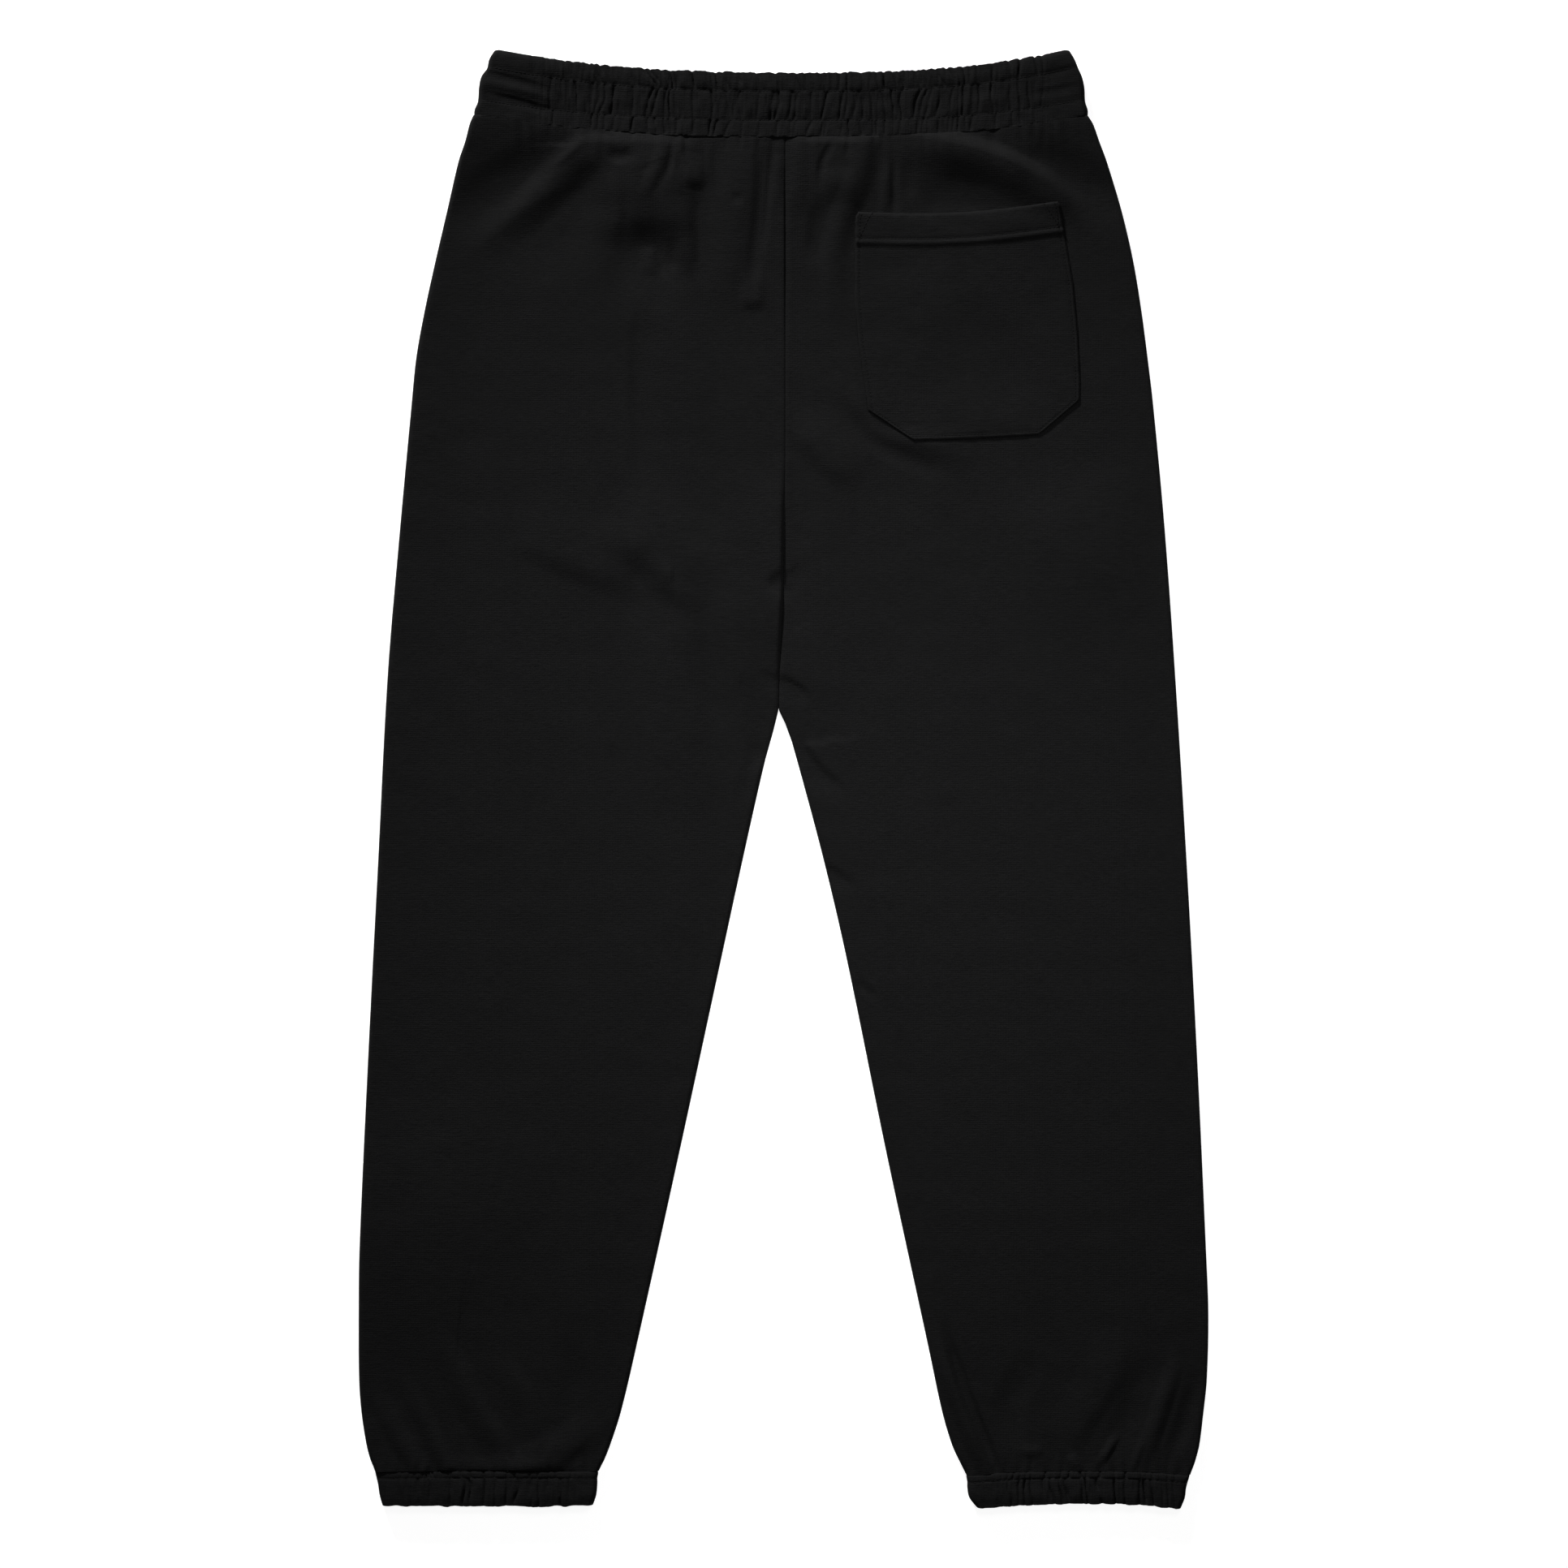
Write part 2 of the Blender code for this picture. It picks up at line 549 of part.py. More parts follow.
def cuff(name, rings, seed, material):
    """An elastic cuff."""
    span = (rings[0].left + CUFF_GATHER_MARGIN, rings[0].right - CUFF_GATHER_MARGIN)
    return band(name, rings, span, CUFF_GATHERS, CUFF_GATHER_HEIGHT, seed, material)


# ---- pocket --------------------------------------------------------------------------------
def back_pocket(name, material):
    """A patch pocket made from the panel's own heights, moved out."""
    outer, inner = [], []
    for r, row in enumerate(POCKET):
        top_points, under_points = [], []
        for k in range(POCKET_COLUMNS):
            t = k / (POCKET_COLUMNS - 1)
            across = math.sin(math.pi * t)
            x = row.left + (row.right - row.left) * t
            down = row.left_down + (row.right_down - row.left_down) * t + row.sag * across
            puff = POCKET_PUFF * math.sqrt(across) * math.sin(math.pi * r / (len(POCKET) - 1))
            under = back_height(1, x, down) + POCKET_LIFT + puff
            edge = 0.75 if k in (0, POCKET_COLUMNS - 1) else 1.0
            top_points.append(place(x, down, under + row.thick * edge))
            under_points.append(place(x, down, under))
        outer.append(top_points)
        inner.append(under_points)
    return wall_object(name, outer, inner, material)


# ---- materials and the whole garment -------------------------------------------------------
def cloth_material(name, colour, roughness):
    """Matt, near-black fleece."""
    material = bpy.data.materials.new(name)
    material.use_nodes = True
    shader = material.node_tree.nodes["Principled BSDF"]
    shader.inputs["Base Color"].default_value = (*colour, 1.0)
    shader.inputs["Roughness"].default_value = roughness
    shader.inputs["Metallic"].default_value = 0.0
    return material


def main():
    """Build every piece."""
    for thing in list(bpy.data.objects):
        bpy.data.objects.remove(thing, do_unlink=True)
    fleece = cloth_material("black_fleece", (0.0090, 0.0090, 0.0092), 0.95)
    casing = cloth_material("black_casing", (0.0083, 0.0083, 0.0085), 0.95)
    for side, word in ((-1, "left"), (1, "right")):
        leg_panel(f"back_panel_{word}", side, True, fleece)
        leg_panel(f"front_panel_{word}", side, False, fleece)
    band("waistband", WAISTBAND, WAIST_GATHER_SPAN, WAIST_GATHERS, WAIST_GATHER_HEIGHT, 11, casing)
    cuff("cuff_left", LEFT_CUFF, 23, casing)
    cuff("cuff_right", RIGHT_CUFF, 31, casing)
    back_pocket("back_pocket", fleece)


main()
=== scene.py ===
"""Black fleece joggers laid flat with the back side up: cloth, gathers, creases and stitching.

Lengths in the tables and fields are millimetres unless they say metres. "down" is the distance
below the top corners of the waistband, and x runs from the wearer's left to the right.
"""
from __future__ import annotations

import logging
import math
import random
from dataclasses import dataclass, field
from enum import Enum
from typing import NamedTuple, Sequence

import bmesh
import bpy
import numpy as np
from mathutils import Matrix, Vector

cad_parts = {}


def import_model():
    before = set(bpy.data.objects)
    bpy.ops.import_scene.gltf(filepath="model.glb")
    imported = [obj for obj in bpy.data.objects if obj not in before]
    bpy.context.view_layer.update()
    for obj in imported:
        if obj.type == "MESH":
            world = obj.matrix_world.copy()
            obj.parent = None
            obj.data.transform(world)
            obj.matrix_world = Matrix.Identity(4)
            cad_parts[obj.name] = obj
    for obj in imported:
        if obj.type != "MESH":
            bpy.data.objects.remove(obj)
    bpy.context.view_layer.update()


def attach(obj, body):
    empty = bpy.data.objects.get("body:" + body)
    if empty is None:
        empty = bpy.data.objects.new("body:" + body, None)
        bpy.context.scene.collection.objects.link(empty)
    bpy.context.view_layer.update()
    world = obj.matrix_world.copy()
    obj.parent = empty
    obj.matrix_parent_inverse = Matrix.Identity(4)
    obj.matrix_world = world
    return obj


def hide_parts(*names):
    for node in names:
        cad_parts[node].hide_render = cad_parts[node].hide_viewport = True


LOG = logging.getLogger("joggers")

MM = 0.001
LENGTH = 1040.0                   # top corners of the waistband to the lowest point of the cuffs
BAND_TOP = 8.4                    # height of the waistband and of a cuff without their gathers
SAG_LEFT, SAG_RIGHT = 2.3, 2.8    # power of the curve in which a ring dips on each side
LAST_ROW = 1013.1                 # where the legs' cloth meets the cuffs
BEYOND = 1000.0                   # an x outside either side of the garment
FOLD_FADE = (0.25, 1.1)           # shares of a fold's longer half where it starts and ends to fade
CREASE_WIDTH = 1.05               # of the sharp creases between the puffs of a band
NOISE_ORIGIN = 1000.0             # cells between the pattern's corner and the garment's middle
WALE_PITCH, COURSE_PITCH = 0.00115, 0.00095    # the knit's ribs and rows of loops, in metres
STITCH_SHARE = 0.84               # length of a stitch over the pitch
THREAD_LIFT = 0.12                # of the bands' stitches over the cloth
SHARP_DEGREES = 75                # between faces that keep a sharp edge
WAVE_SCALE = 0.3                  # of a wave texture whose bands are one unit apart
WHITE = (1.0, 1.0, 1.0, 1.0)


class Side(Enum):
    """The wearer's left or right; the value is the sign of x."""

    LEFT = -1
    RIGHT = 1

    @property
    def word(self) -> str:
        """Lower-case name, as the nodes use it."""
        return self.name.lower()


class Layer(Enum):
    """Which cloth of a leg lies on top."""

    BACK = "back"
    FRONT = "front"


class Edge(NamedTuple):
    """Left and right edges of the garment at one distance below the waist."""

    down: float
    left: float
    right: float


class Fold(NamedTuple):
    """A ridge (plus height) or a trough along (x, down) points, highest at peak, a share of it.

    Its two sides may reach differently far: upper is the side on the left of a line drawn
    downwards, or above a line drawn leftwards, and lower is the other side.
    """

    line: tuple[tuple[float, float], ...]
    upper: float
    lower: float
    height: float
    peak: float = 0.5


class Ring(NamedTuple):
    """One ring of a band: its distance below the waist, its edges and its rise."""

    side_down: float
    middle_down: float
    left: float
    right: float
    rise: float


class PocketRow(NamedTuple):
    """A line across the pocket, its sag in the middle and the thickness of cloth there."""

    left: float
    left_down: float
    right: float
    right_down: float
    sag: float
    thick: float


class SewnRow(NamedTuple):
    """One sewn row of a band: its puffs and creases, and the tuck at its lower stitch line."""

    puff: float
    crease: float
    streak: float
    slope: float
    extra: int
    lean: float
    lean_bias: float
    tuck: float
    tuck_width: float


OUTSEAM = [
    Edge(46.4, -221.8, 217.8), Edge(52.2, -224.2, 221.3), Edge(65.0, -227.6, 225.9),
    Edge(78.9, -232.3, 231.1), Edge(113.7, -240.4, 241.6), Edge(148.5, -248.5, 249.7),
    Edge(183.3, -256.1, 255.5), Edge(218.1, -262.4, 260.1), Edge(252.9, -265.9, 264.2),
    Edge(339.9, -274.0, 272.3), Edge(444.3, -282.8, 279.8), Edge(577.7, -289.7, 288.0),
    Edge(716.9, -296.8, 295.5), Edge(856.1, -303.0, 301.9), Edge(902.5, -303.6, 303.6),
    Edge(948.9, -303.3, 302.5), Edge(972.1, -301.6, 300.1), Edge(995.3, -298.0, 297.2),
    Edge(1005.7, -295.2, 294.6), Edge(1011.0, -293.0, 292.8), Edge(1016.0, -291.4, 290.8),
]
INSEAM = [
    Edge(471.0, -3.8, -3.2), Edge(484.9, -7.2, 3.2), Edge(508.1, -13.6, 10.1),
    Edge(577.7, -29.3, 28.7), Edge(647.3, -44.4, 44.9), Edge(786.5, -74.5, 73.4),
    Edge(925.7, -105.3, 103.5), Edge(972.1, -116.3, 113.4), Edge(995.3, -123.8, 120.3),
    Edge(1005.7, -127.9, 125.0), Edge(1013.8, -131.9, 129.6), Edge(1017.0, -132.4, 130.4),
]
CENTRE_SEAM = [
    (46.0, 1.2), (287.7, 1.2), (345.7, 0.3), (392.1, -0.6), (421.1, -2.0), (444.3, -3.2),
    (471.0, -3.5),
]

LARGE_FOLDS = [
    # below the waistband, left of the centre seam
    Fold(((-136, 44), (-190, 44), (-232, 56), (-264, 88)), 10, 44, 4.6, 0.55),
    Fold(((-140, 74), (-172, 84), (-206, 106), (-240, 136)), 28, 20, -3.0),
    Fold(((-126, 54), (-146, 74), (-170, 98), (-199, 132)), 16, 20, 3.0, 0.45),
    Fold(((-116, 90), (-148, 104), (-178, 130), (-208, 164)), 24, 54, -3.2, 0.45),
    Fold(((-124, 84), (-121, 112), (-124, 142)), 26, 10, 2.0),
    Fold(((-54, 70), (-96, 67), (-144, 67)), 9, 46, 4.4, 0.55),
    Fold(((-60, 112), (-82, 106), (-106, 106), (-132, 113)), 42, 36, 5.8),
    Fold(((-60, 157), (-80, 153), (-96, 147), (-110, 151), (-131, 156)), 30, 40, -3.0),
    Fold(((-84, 64), (-90, 84), (-100, 108)), 8, 6, 1.5),
    Fold(((-54, 91), (-74, 91)), 18, 10, 1.9),
    Fold(((-72, 104), (-70, 130), (-69, 166)), 22, 10, 3.2, 0.45),
    Fold(((-100, 160), (-104, 240), (-100, 316)), 9, 20, -1.3),
    Fold(((-84, 170), (-60, 250), (-58, 300)), 40, 22, 1.6, 0.2),
    Fold(((-24, 66), (-32, 104), (-40, 160), (-42, 196)), 24, 20, 2.6, 0.4),
    Fold(((-16, 66), (-17, 110), (-24, 176)), 7, 8, -1.6, 0.45),
    Fold(((-12, 177), (-32, 177)), 26, 10, 1.9),
    # below the waistband, right of the centre seam
    Fold(((10, 64), (9, 120)), 9, 10, 1.8, 0.4),
    Fold(((66, 67), (4, 67)), 8, 72, 4.4),
    Fold(((54, 95), (26, 95)), 14, 16, 1.8),
    Fold(((60, 66), (54, 92), (42, 120), (36, 150), (38, 200)), 12, 12, 2.4, 0.3),
    Fold(((74, 76), (72, 114)), 5, 6, 1.2, 0.6),
    Fold(((202, 138), (164, 115), (128, 98), (70, 78)), 24, 44, -2.2),
    Fold(((204, 110), (176, 88), (142, 73), (84, 60)), 10, 25, 4.0),
    Fold(((206, 112), (194, 94), (180, 76)), 7, 9, 1.0),
    Fold(((150, 110), (122, 102), (96, 100)), 16, 18, -1.0),
    Fold(((206, 124), (194, 98), (180, 72)), 10, 16, 1.2, 0.45),
    Fold(((266, 86), (232, 56), (196, 44), (146, 44)), 10, 42, 4.0, 0.45),
    Fold(((250, 126), (220, 100), (190, 84), (160, 74)), 24, 22, -2.6),
    # round the seat, the crotch and the thighs
    Fold(((140, 292), (100, 278), (78, 268), (58, 254), (47, 238)), 34, 15, 3.0, 0.55),
    Fold(((122, 304), (96, 296), (74, 286), (56, 272), (43, 254)), 9, 8, -1.0, 0.55),
    Fold(((56, 308), (36, 294), (20, 276), (13, 256)), 26, 16, 2.8),
    Fold(((-56, 398), (-76, 376), (-100, 350), (-130, 332)), 50, 24, 4.0),
    Fold(((-62, 420), (-84, 394), (-116, 364)), 20, 34, -1.6),
    Fold(((-104, 380), (-150, 363), (-198, 343)), 40, 17, 2.2, 0.45),
    Fold(((-10, 446), (-48, 412), (-84, 382)), 50, 36, 1.6),
    Fold(((-78, 396), (-74, 460), (-62, 550)), 40, 24, 3.2, 0.3),
    Fold(((266, 344), (214, 348), (160, 362)), 60, 80, 3.4),
    # above the left cuff
    Fold(((-180, 858), (-226, 842), (-274, 850), (-312, 856)), 110, 110, 3.8, 0.6),
    Fold(((-292, 950), (-280, 978), (-260, 1012)), 10, 9, 2.0, 0.7),
    Fold(((-270, 946), (-256, 976), (-240, 1010)), 10, 8, 2.4, 0.7),
    Fold(((-248, 908), (-232, 940), (-220, 966), (-200, 998)), 16, 10, 2.4, 0.6),
    Fold(((-200, 930), (-184, 962), (-176, 990)), 16, 10, 2.0, 0.6),
    Fold(((-160, 916), (-150, 944), (-152, 976)), 12, 16, -1.3),
    Fold(((-120, 968), (-148, 993), (-190, 1013), (-216, 1022)), 18, 14, 2.1),
    # above the right cuff
    Fold(((106, 906), (117, 942), (127, 970), (143, 1010), (150, 1030)), 9, 7, 3.4),
    Fold(((113, 904), (124, 940), (134.5, 970), (151, 1010), (158, 1030)), 6, 6, -3.8),
    Fold(((174, 942), (162, 968), (168, 1000)), 16, 14, -1.4, 0.4),
    Fold(((246, 914), (232, 950), (214, 978), (198, 1004)), 26, 12, 1.7),
    Fold(((268, 926), (250, 964), (236, 1008)), 14, 16, -1.5),
    Fold(((282, 930), (270, 968), (256, 1010)), 9, 8, 2.2),
    Fold(((296, 940), (286, 980), (272, 1012)), 9, 9, -1.6),
]
SMALL_FOLDS = [
    # below the waistband
    Fold(((-140, 62), (-156, 76), (-168, 84)), 4, 5, 0.9),
    Fold(((-104, 72), (-116, 76), (-127, 72)), 7, 7, -1.6),
    Fold(((-79, 62), (-81, 80), (-87, 98)), 3.5, 4, -1.2, 0.4),
    Fold(((-96, 138), (-96, 162)), 9, 8, 1.4),
    Fold(((-79, 138), (-78, 158)), 6, 6, -1.0, 0.4),
    Fold(((-70, 62), (-70, 78)), 3, 4, -0.9, 0.3),
    Fold(((-53, 64), (-53, 98)), 4, 5, 0.9, 0.4),
    Fold(((-28, 106), (-38, 105)), 6, 6, -0.9),
    Fold(((-8, 64), (-11, 100), (-15, 150)), 2.6, 4, -1.1, 0.4),
    Fold(((-4, 78), (-4, 110)), 4, 4, 0.8, 0.4),
    Fold(((34, 66), (27, 82), (26, 100)), 4, 5, -1.4, 0.4),
    Fold(((46, 62), (45, 78)), 3, 4, -1.0, 0.3),
    Fold(((26, 102), (24, 124), (20, 156)), 9, 12, -1.6),
    Fold(((78, 68), (79, 116)), 3.5, 5, -1.3, 0.6),
    Fold(((88, 76), (90, 108)), 7, 8, -1.0),
    Fold(((152, 66), (164, 80), (176, 94)), 5, 5, 0.7),
    # seat, crotch and knees
    Fold(((1.2, 84), (1.5, 150), (1.2, 214)), 1.5, 4, -0.9, 0.4),
    Fold(((-3, 290), (-4, 370), (-6, 440)), 60, 5, 2.3),
    Fold(((3, 290), (4.5, 340), (4, 396), (0, 452)), 8, 26, -1.6),
    Fold(((-1, 376), (-11, 385)), 8, 18, -2.2, 0.3),
    Fold(((20, 464), (10, 454.5), (-5, 447)), 4, 16, -2.0, 0.6),
    Fold(((47, 532), (26, 514), (6, 489)), 6, 18, -2.0, 0.6),
    Fold(((53, 598), (42, 590), (30, 582)), 4, 14, -1.6, 0.6),
    Fold(((68, 677), (50, 664)), 5, 5, -1.0),
    Fold(((-20, 500), (-34, 545)), 8, 8, -0.7, 0.4),
    Fold(((2, 496), (-32, 500)), 66, 20, -2.2, 0.3),
    # above the cuffs
    Fold(((-150, 1010), (-206, 1011), (-258, 1010)), 10, 4, 0.9, 0.4),
    Fold(((-134, 988), (-146, 1002), (-158, 1012)), 5, 6, -0.4),
    Fold(((204, 1001), (209, 1011)), 6, 6, 1.4, 0.6),
    Fold(((186, 1000), (168, 999)), 6, 6, 0.9),
    Fold(((240, 986), (232, 998), (224, 1011)), 5, 4, 1.5),
    Fold(((256, 990), (250, 1010)), 4, 4, 0.9, 0.6),
]

WAISTBAND_RINGS = [
    Ring(0.0, 15.7, -206.8, 204.5, -1.0),
    Ring(6.0, 21.8, -210.3, 208.0, -0.1),
    Ring(12.8, 28.9, -212.0, 210.8, -0.3),
    Ring(18.0, 33.6, -215.8, 213.1, -0.5),
    Ring(26.0, 41.0, -217.6, 214.9, -0.2),
    Ring(36.0, 49.5, -218.4, 215.5, -0.3),
    Ring(42.0, 55.8, -220.8, 217.3, 0.0),
    Ring(46.7, 61.5, -220.9, 217.3, 0.3),
]
LEFT_CUFF_RINGS = [
    Ring(1013.7, 1013.4, -291.9, -132.8, 0.0),
    Ring(1015.4, 1015.2, -291.6, -132.4, 0.7),
    Ring(1018.8, 1018.4, -290.8, -133.0, 1.1),
    Ring(1023.0, 1023.0, -289.8, -133.0, 1.5),
    Ring(1031.0, 1031.0, -288.6, -133.8, 2.2),
    Ring(1038.0, 1038.2, -286.6, -136.0, 2.0),
]
RIGHT_CUFF_RINGS = [
    Ring(1016.4, 1013.4, 130.6, 290.2, 0.0),
    Ring(1018.2, 1015.2, 130.6, 289.8, 0.7),
    Ring(1021.6, 1018.4, 131.2, 288.8, 1.1),
    Ring(1026.0, 1023.2, 131.2, 287.6, 1.5),
    Ring(1033.2, 1030.4, 132.8, 286.6, 2.2),
    Ring(1040.0, 1036.4, 138.0, 283.8, 2.0),
]
BAND_FOLDS = (
    Fold(((-160, 30), (-188, 22), (-214, 16)), 3, 6, -0.7, 0.6),
    Fold(((-160, 36), (-188, 29), (-216, 24)), 5, 4, 0.6, 0.6),
    Fold(((-160, 44), (-190, 36), (-218, 30)), 3, 7, -0.9),
    Fold(((214, 25), (192, 29), (172, 32)), 4, 6, -0.7),
    Fold(((212, 12), (196, 16), (176, 20)), 4, 4, -0.5),
    Fold(((-120, 14), (-176, 8), (-216, 2)), 6, 64, 2.0, 0.8),
    Fold(((214, 2), (176, 8), (120, 14)), 6, 64, 1.8, 0.2),
    Fold(((-204, -60), (-232, 120)), 60, 60, 3.6),
    Fold(((202, -60), (228, 120)), 60, 60, 2.8),
)
SEAT_FOLDS = (
    Fold(((192, 216), (148, 224), (96, 216)), 60, 44, -2.3),
    Fold(((214, 118), (184, 94), (150, 77), (112, 66), (64, 60)), 13, 56, 5.6),
)

POCKET_ROWS = [
    PocketRow(53.4, 115.0, 195.4, 108.0, 3.8, 1.5), PocketRow(51.4, 118.6, 197.0, 110.9, 3.9, 2.5),
    PocketRow(51.0, 137.2, 200.2, 129.1, 4.0, 2.5), PocketRow(50.9, 141.2, 200.9, 133.1, 4.0, 1.6),
    PocketRow(50.9, 174.6, 206.6, 165.9, 3.0, 1.6), PocketRow(53.2, 207.0, 210.0, 200.7, 2.0, 1.6),
    PocketRow(58.2, 240.0, 211.6, 234.5, 1.2, 1.6), PocketRow(60.2, 256.4, 211.3, 249.2, 1.0, 1.6),
    PocketRow(89.8, 276.2, 184.4, 272.0, 0.6, 1.4), PocketRow(93.4, 278.4, 180.4, 274.2, 0.5, 1.0),
]

WAIST_ROWS = (
    SewnRow(0.9, 2.3, 0.4, 0.0, 8, -7.0, 0.8, 0.3, 1.5),
    SewnRow(0.7, 2.2, 0.4, 0.3, 12, 5.0, 0.0, 0.25, 0.8),
    SewnRow(0.45, 1.9, 0.25, 0.0, 14, 2.0, 0.0, 0.15, 0.6),
)
CUFF_SEWN_ROWS = (
    SewnRow(0.0, 0.0, 0.0, 0.0, 0, 0.0, 0.0, 0.5, 0.6),
    SewnRow(0.7, 2.6, 0.15, 0.0, 12, 0.5, 0.0, 0.6, 0.7),
    SewnRow(1.0, 2.6, 0.35, 0.0, 6, -4.0, 0.3, 0.0, 1.0),
)

# rings, both ends of the gathers, and the seeds of the gathers and of the band
CUFFS = {
    Side.LEFT: (LEFT_CUFF_RINGS, -282.9, -141.8, 23, 400),
    Side.RIGHT: (RIGHT_CUFF_RINGS, 139.6, 281.2, 31, 500),
}

# where each stretch of a panel's rows starts, and how many rows it has
PANEL_ROWS = {
    Layer.BACK: ((61.45, 96), (200.0, 150), (560.0, 120), (900.0, 82)),
    Layer.FRONT: ((61.45, 24), (300.0, 30), (480.0, 42)),
}
# points round each turned edge of a panel, and gaps between the points of its flat part
PANEL_COLUMNS = {Layer.BACK: (8, 184), Layer.FRONT: (4, 24)}


# ---- curves and height fields --------------------------------------------------------------
def smooth_step(low: float, high: float, value: np.ndarray) -> np.ndarray:
    """0 below low, 1 above high and a soft rise between them."""
    t = np.clip((value - low) / (high - low), 0.0, 1.0)
    return t * t * (3.0 - 2.0 * t)


def bell(distance: np.ndarray, width: float = 1.0) -> np.ndarray:
    """1 at a line, with a soft fall to both sides of it."""
    return np.exp(-((distance / width) ** 2))


def read_curve(points: Sequence[tuple[float, float]], at: np.ndarray) -> np.ndarray:
    """Reads a smooth curve through (place, value) points.

    Args:
        points: the curve's points, in order of place.
        at: the places to read.

    Returns:
        The values there, held level beyond both ends.
    """
    place = np.array([p[0] for p in points], float)
    value = np.array([p[1] for p in points], float)
    slope = np.empty_like(value)
    slope[1:-1] = (value[2:] - value[:-2]) / (place[2:] - place[:-2])
    slope[0] = (value[1] - value[0]) / (place[1] - place[0])
    slope[-1] = (value[-1] - value[-2]) / (place[-1] - place[-2])
    at = np.clip(np.asarray(at, float), place[0], place[-1])
    k = np.clip(np.searchsorted(place, at, side="right") - 1, 0, len(place) - 2)
    step = place[k + 1] - place[k]
    t = (at - place[k]) / step
    return ((1 + 2 * t) * (1 - t) ** 2 * value[k] + t * (1 - t) ** 2 * step * slope[k]
            + t * t * (3 - 2 * t) * value[k + 1] + t * t * (t - 1) * step * slope[k + 1])


class Welt(NamedTuple):
    """A ridge (plus height) or a groove that follows a seam: its distance, height and width."""

    away: float
    height: float
    width: float

    def at(self, distance: np.ndarray) -> np.ndarray:
        """Height at a distance from the seam."""
        return self.height * bell(distance - self.away, self.width)


class Lumps(NamedTuple):
    """Seeded, smooth unevenness of cloth: its height, the size of one lump and its seed."""

    height: float
    across: float
    along: float
    seed: int

    def at(self, x: np.ndarray, down: np.ndarray, seed: int = 0) -> np.ndarray:
        """Height, plus or minus, at each place.

        Args:
            x: places across.
            down: places along.
            seed: added to the pattern's own, for a band or row that differs from the others.

        Returns:
            Heights in millimetres.
        """
        size = 256
        table = np.random.default_rng(self.seed + seed).uniform(-1.0, 1.0, (size, size))
        u, v = x / self.across + NOISE_ORIGIN, down / self.along + NOISE_ORIGIN
        i, j = np.floor(u).astype(int), np.floor(v).astype(int)
        s, t = u - i, v - j
        s, t = s * s * (3 - 2 * s), t * t * (3 - 2 * t)
        a, b = table[i % size, j % size], table[(i + 1) % size, j % size]
        c, d = table[i % size, (j + 1) % size], table[(i + 1) % size, (j + 1) % size]
        return self.height * ((a * (1 - s) + b * s) * (1 - t) + (c * (1 - s) + d * s) * t)


def smooth_line(points: Sequence[tuple[float, float]], steps: int = 6) -> np.ndarray:
    """(x, down) rows on a smooth curve through a fold's points, each gap cut into steps."""
    line = np.array(points, float)
    if len(line) < 3:
        return line
    fine = np.linspace(0, len(line) - 1, (len(line) - 1) * steps + 1)
    return np.stack([read_curve(list(enumerate(line[:, axis])), fine) for axis in (0, 1)], axis=1)


def nearest_on_line(line: np.ndarray, x: np.ndarray,
                    down: np.ndarray) -> tuple[np.ndarray, np.ndarray]:
    """Distance to a line, minus on its lower side, and the fraction of it that is nearest.

    Args:
        line: (x, down) rows.
        x: places across, as one flat array.
        down: places along.

    Returns:
        Distances and fractions from 0 to 1.
    """
    best, along, side = np.full(x.shape, np.inf), np.zeros(x.shape), np.ones(x.shape)
    lengths = np.hypot(*np.diff(line, axis=0).T)
    passed = 0.0
    for (x1, down1), (x2, down2), length in zip(line, line[1:], lengths):
        run, fall = x2 - x1, down2 - down1
        t = np.clip(((x - x1) * run + (down - down1) * fall) / length**2, 0.0, 1.0)
        away = np.hypot(x - x1 - t * run, down - down1 - t * fall)
        closer = away < best
        turn = run * (down - down1) - fall * (x - x1)
        side = np.where(closer, np.where(turn >= 0, 1.0, -1.0), side)
        best = np.where(closer, away, best)
        along = np.where(closer, (passed + t * length) / lengths.sum(), along)
        passed += length
    return best * side, along


def fold_heights(folds: Sequence[Fold], x: np.ndarray, down: np.ndarray) -> np.ndarray:
    """Height that soft ridges and troughs add to a surface.

    Args:
        folds: the ridges and troughs.
        x: places across.
        down: places along.

    Returns:
        The sum of all the folds at each place.
    """
    x, down = np.broadcast_arrays(x, down)
    total = np.zeros(x.shape)
    for fold in folds:
        line = smooth_line(fold.line)
        reach = max(fold.upper, fold.lower)
        low, high = line.min(axis=0) - reach, line.max(axis=0) + reach
        near = (x > low[0]) & (x < high[0]) & (down > low[1]) & (down < high[1])
        if near.any():
            away, along = nearest_on_line(line, x[near], down[near])
            longest = max(fold.peak, 1.0 - fold.peak)
            fade = 1.0 - smooth_step(*FOLD_FADE, np.abs(along - fold.peak) / longest)
            width = np.where(away > 0, fold.upper, fold.lower)
            across = np.clip(1.0 - (away / width) ** 2, 0.0, 1.0) ** 2
            total[near] += fold.height * fade * across
    return total


def middle_share(across: np.ndarray) -> np.ndarray:
    """1 in the middle of the waist or a cuff and 0 at its sides."""
    power = np.where(across > 0, SAG_RIGHT, SAG_LEFT)
    return 1.0 - np.minimum(1.0, np.abs(across)) ** power


def ring_bend(ring: Ring, x: np.ndarray) -> np.ndarray:
    """How much lower a ring is at x than in its middle."""
    centre, half = (ring.left + ring.right) / 2, (ring.right - ring.left) / 2
    across = (x - centre) / (half - BAND_TOP / 2)
    return (ring.side_down - ring.middle_down) * (1.0 - middle_share(across))


def edge_curve(edges: Sequence[Edge], side: Side, down: np.ndarray) -> np.ndarray:
    """x of one side's edge."""
    return read_curve([(e.down, e.left if side is Side.LEFT else e.right) for e in edges], down)


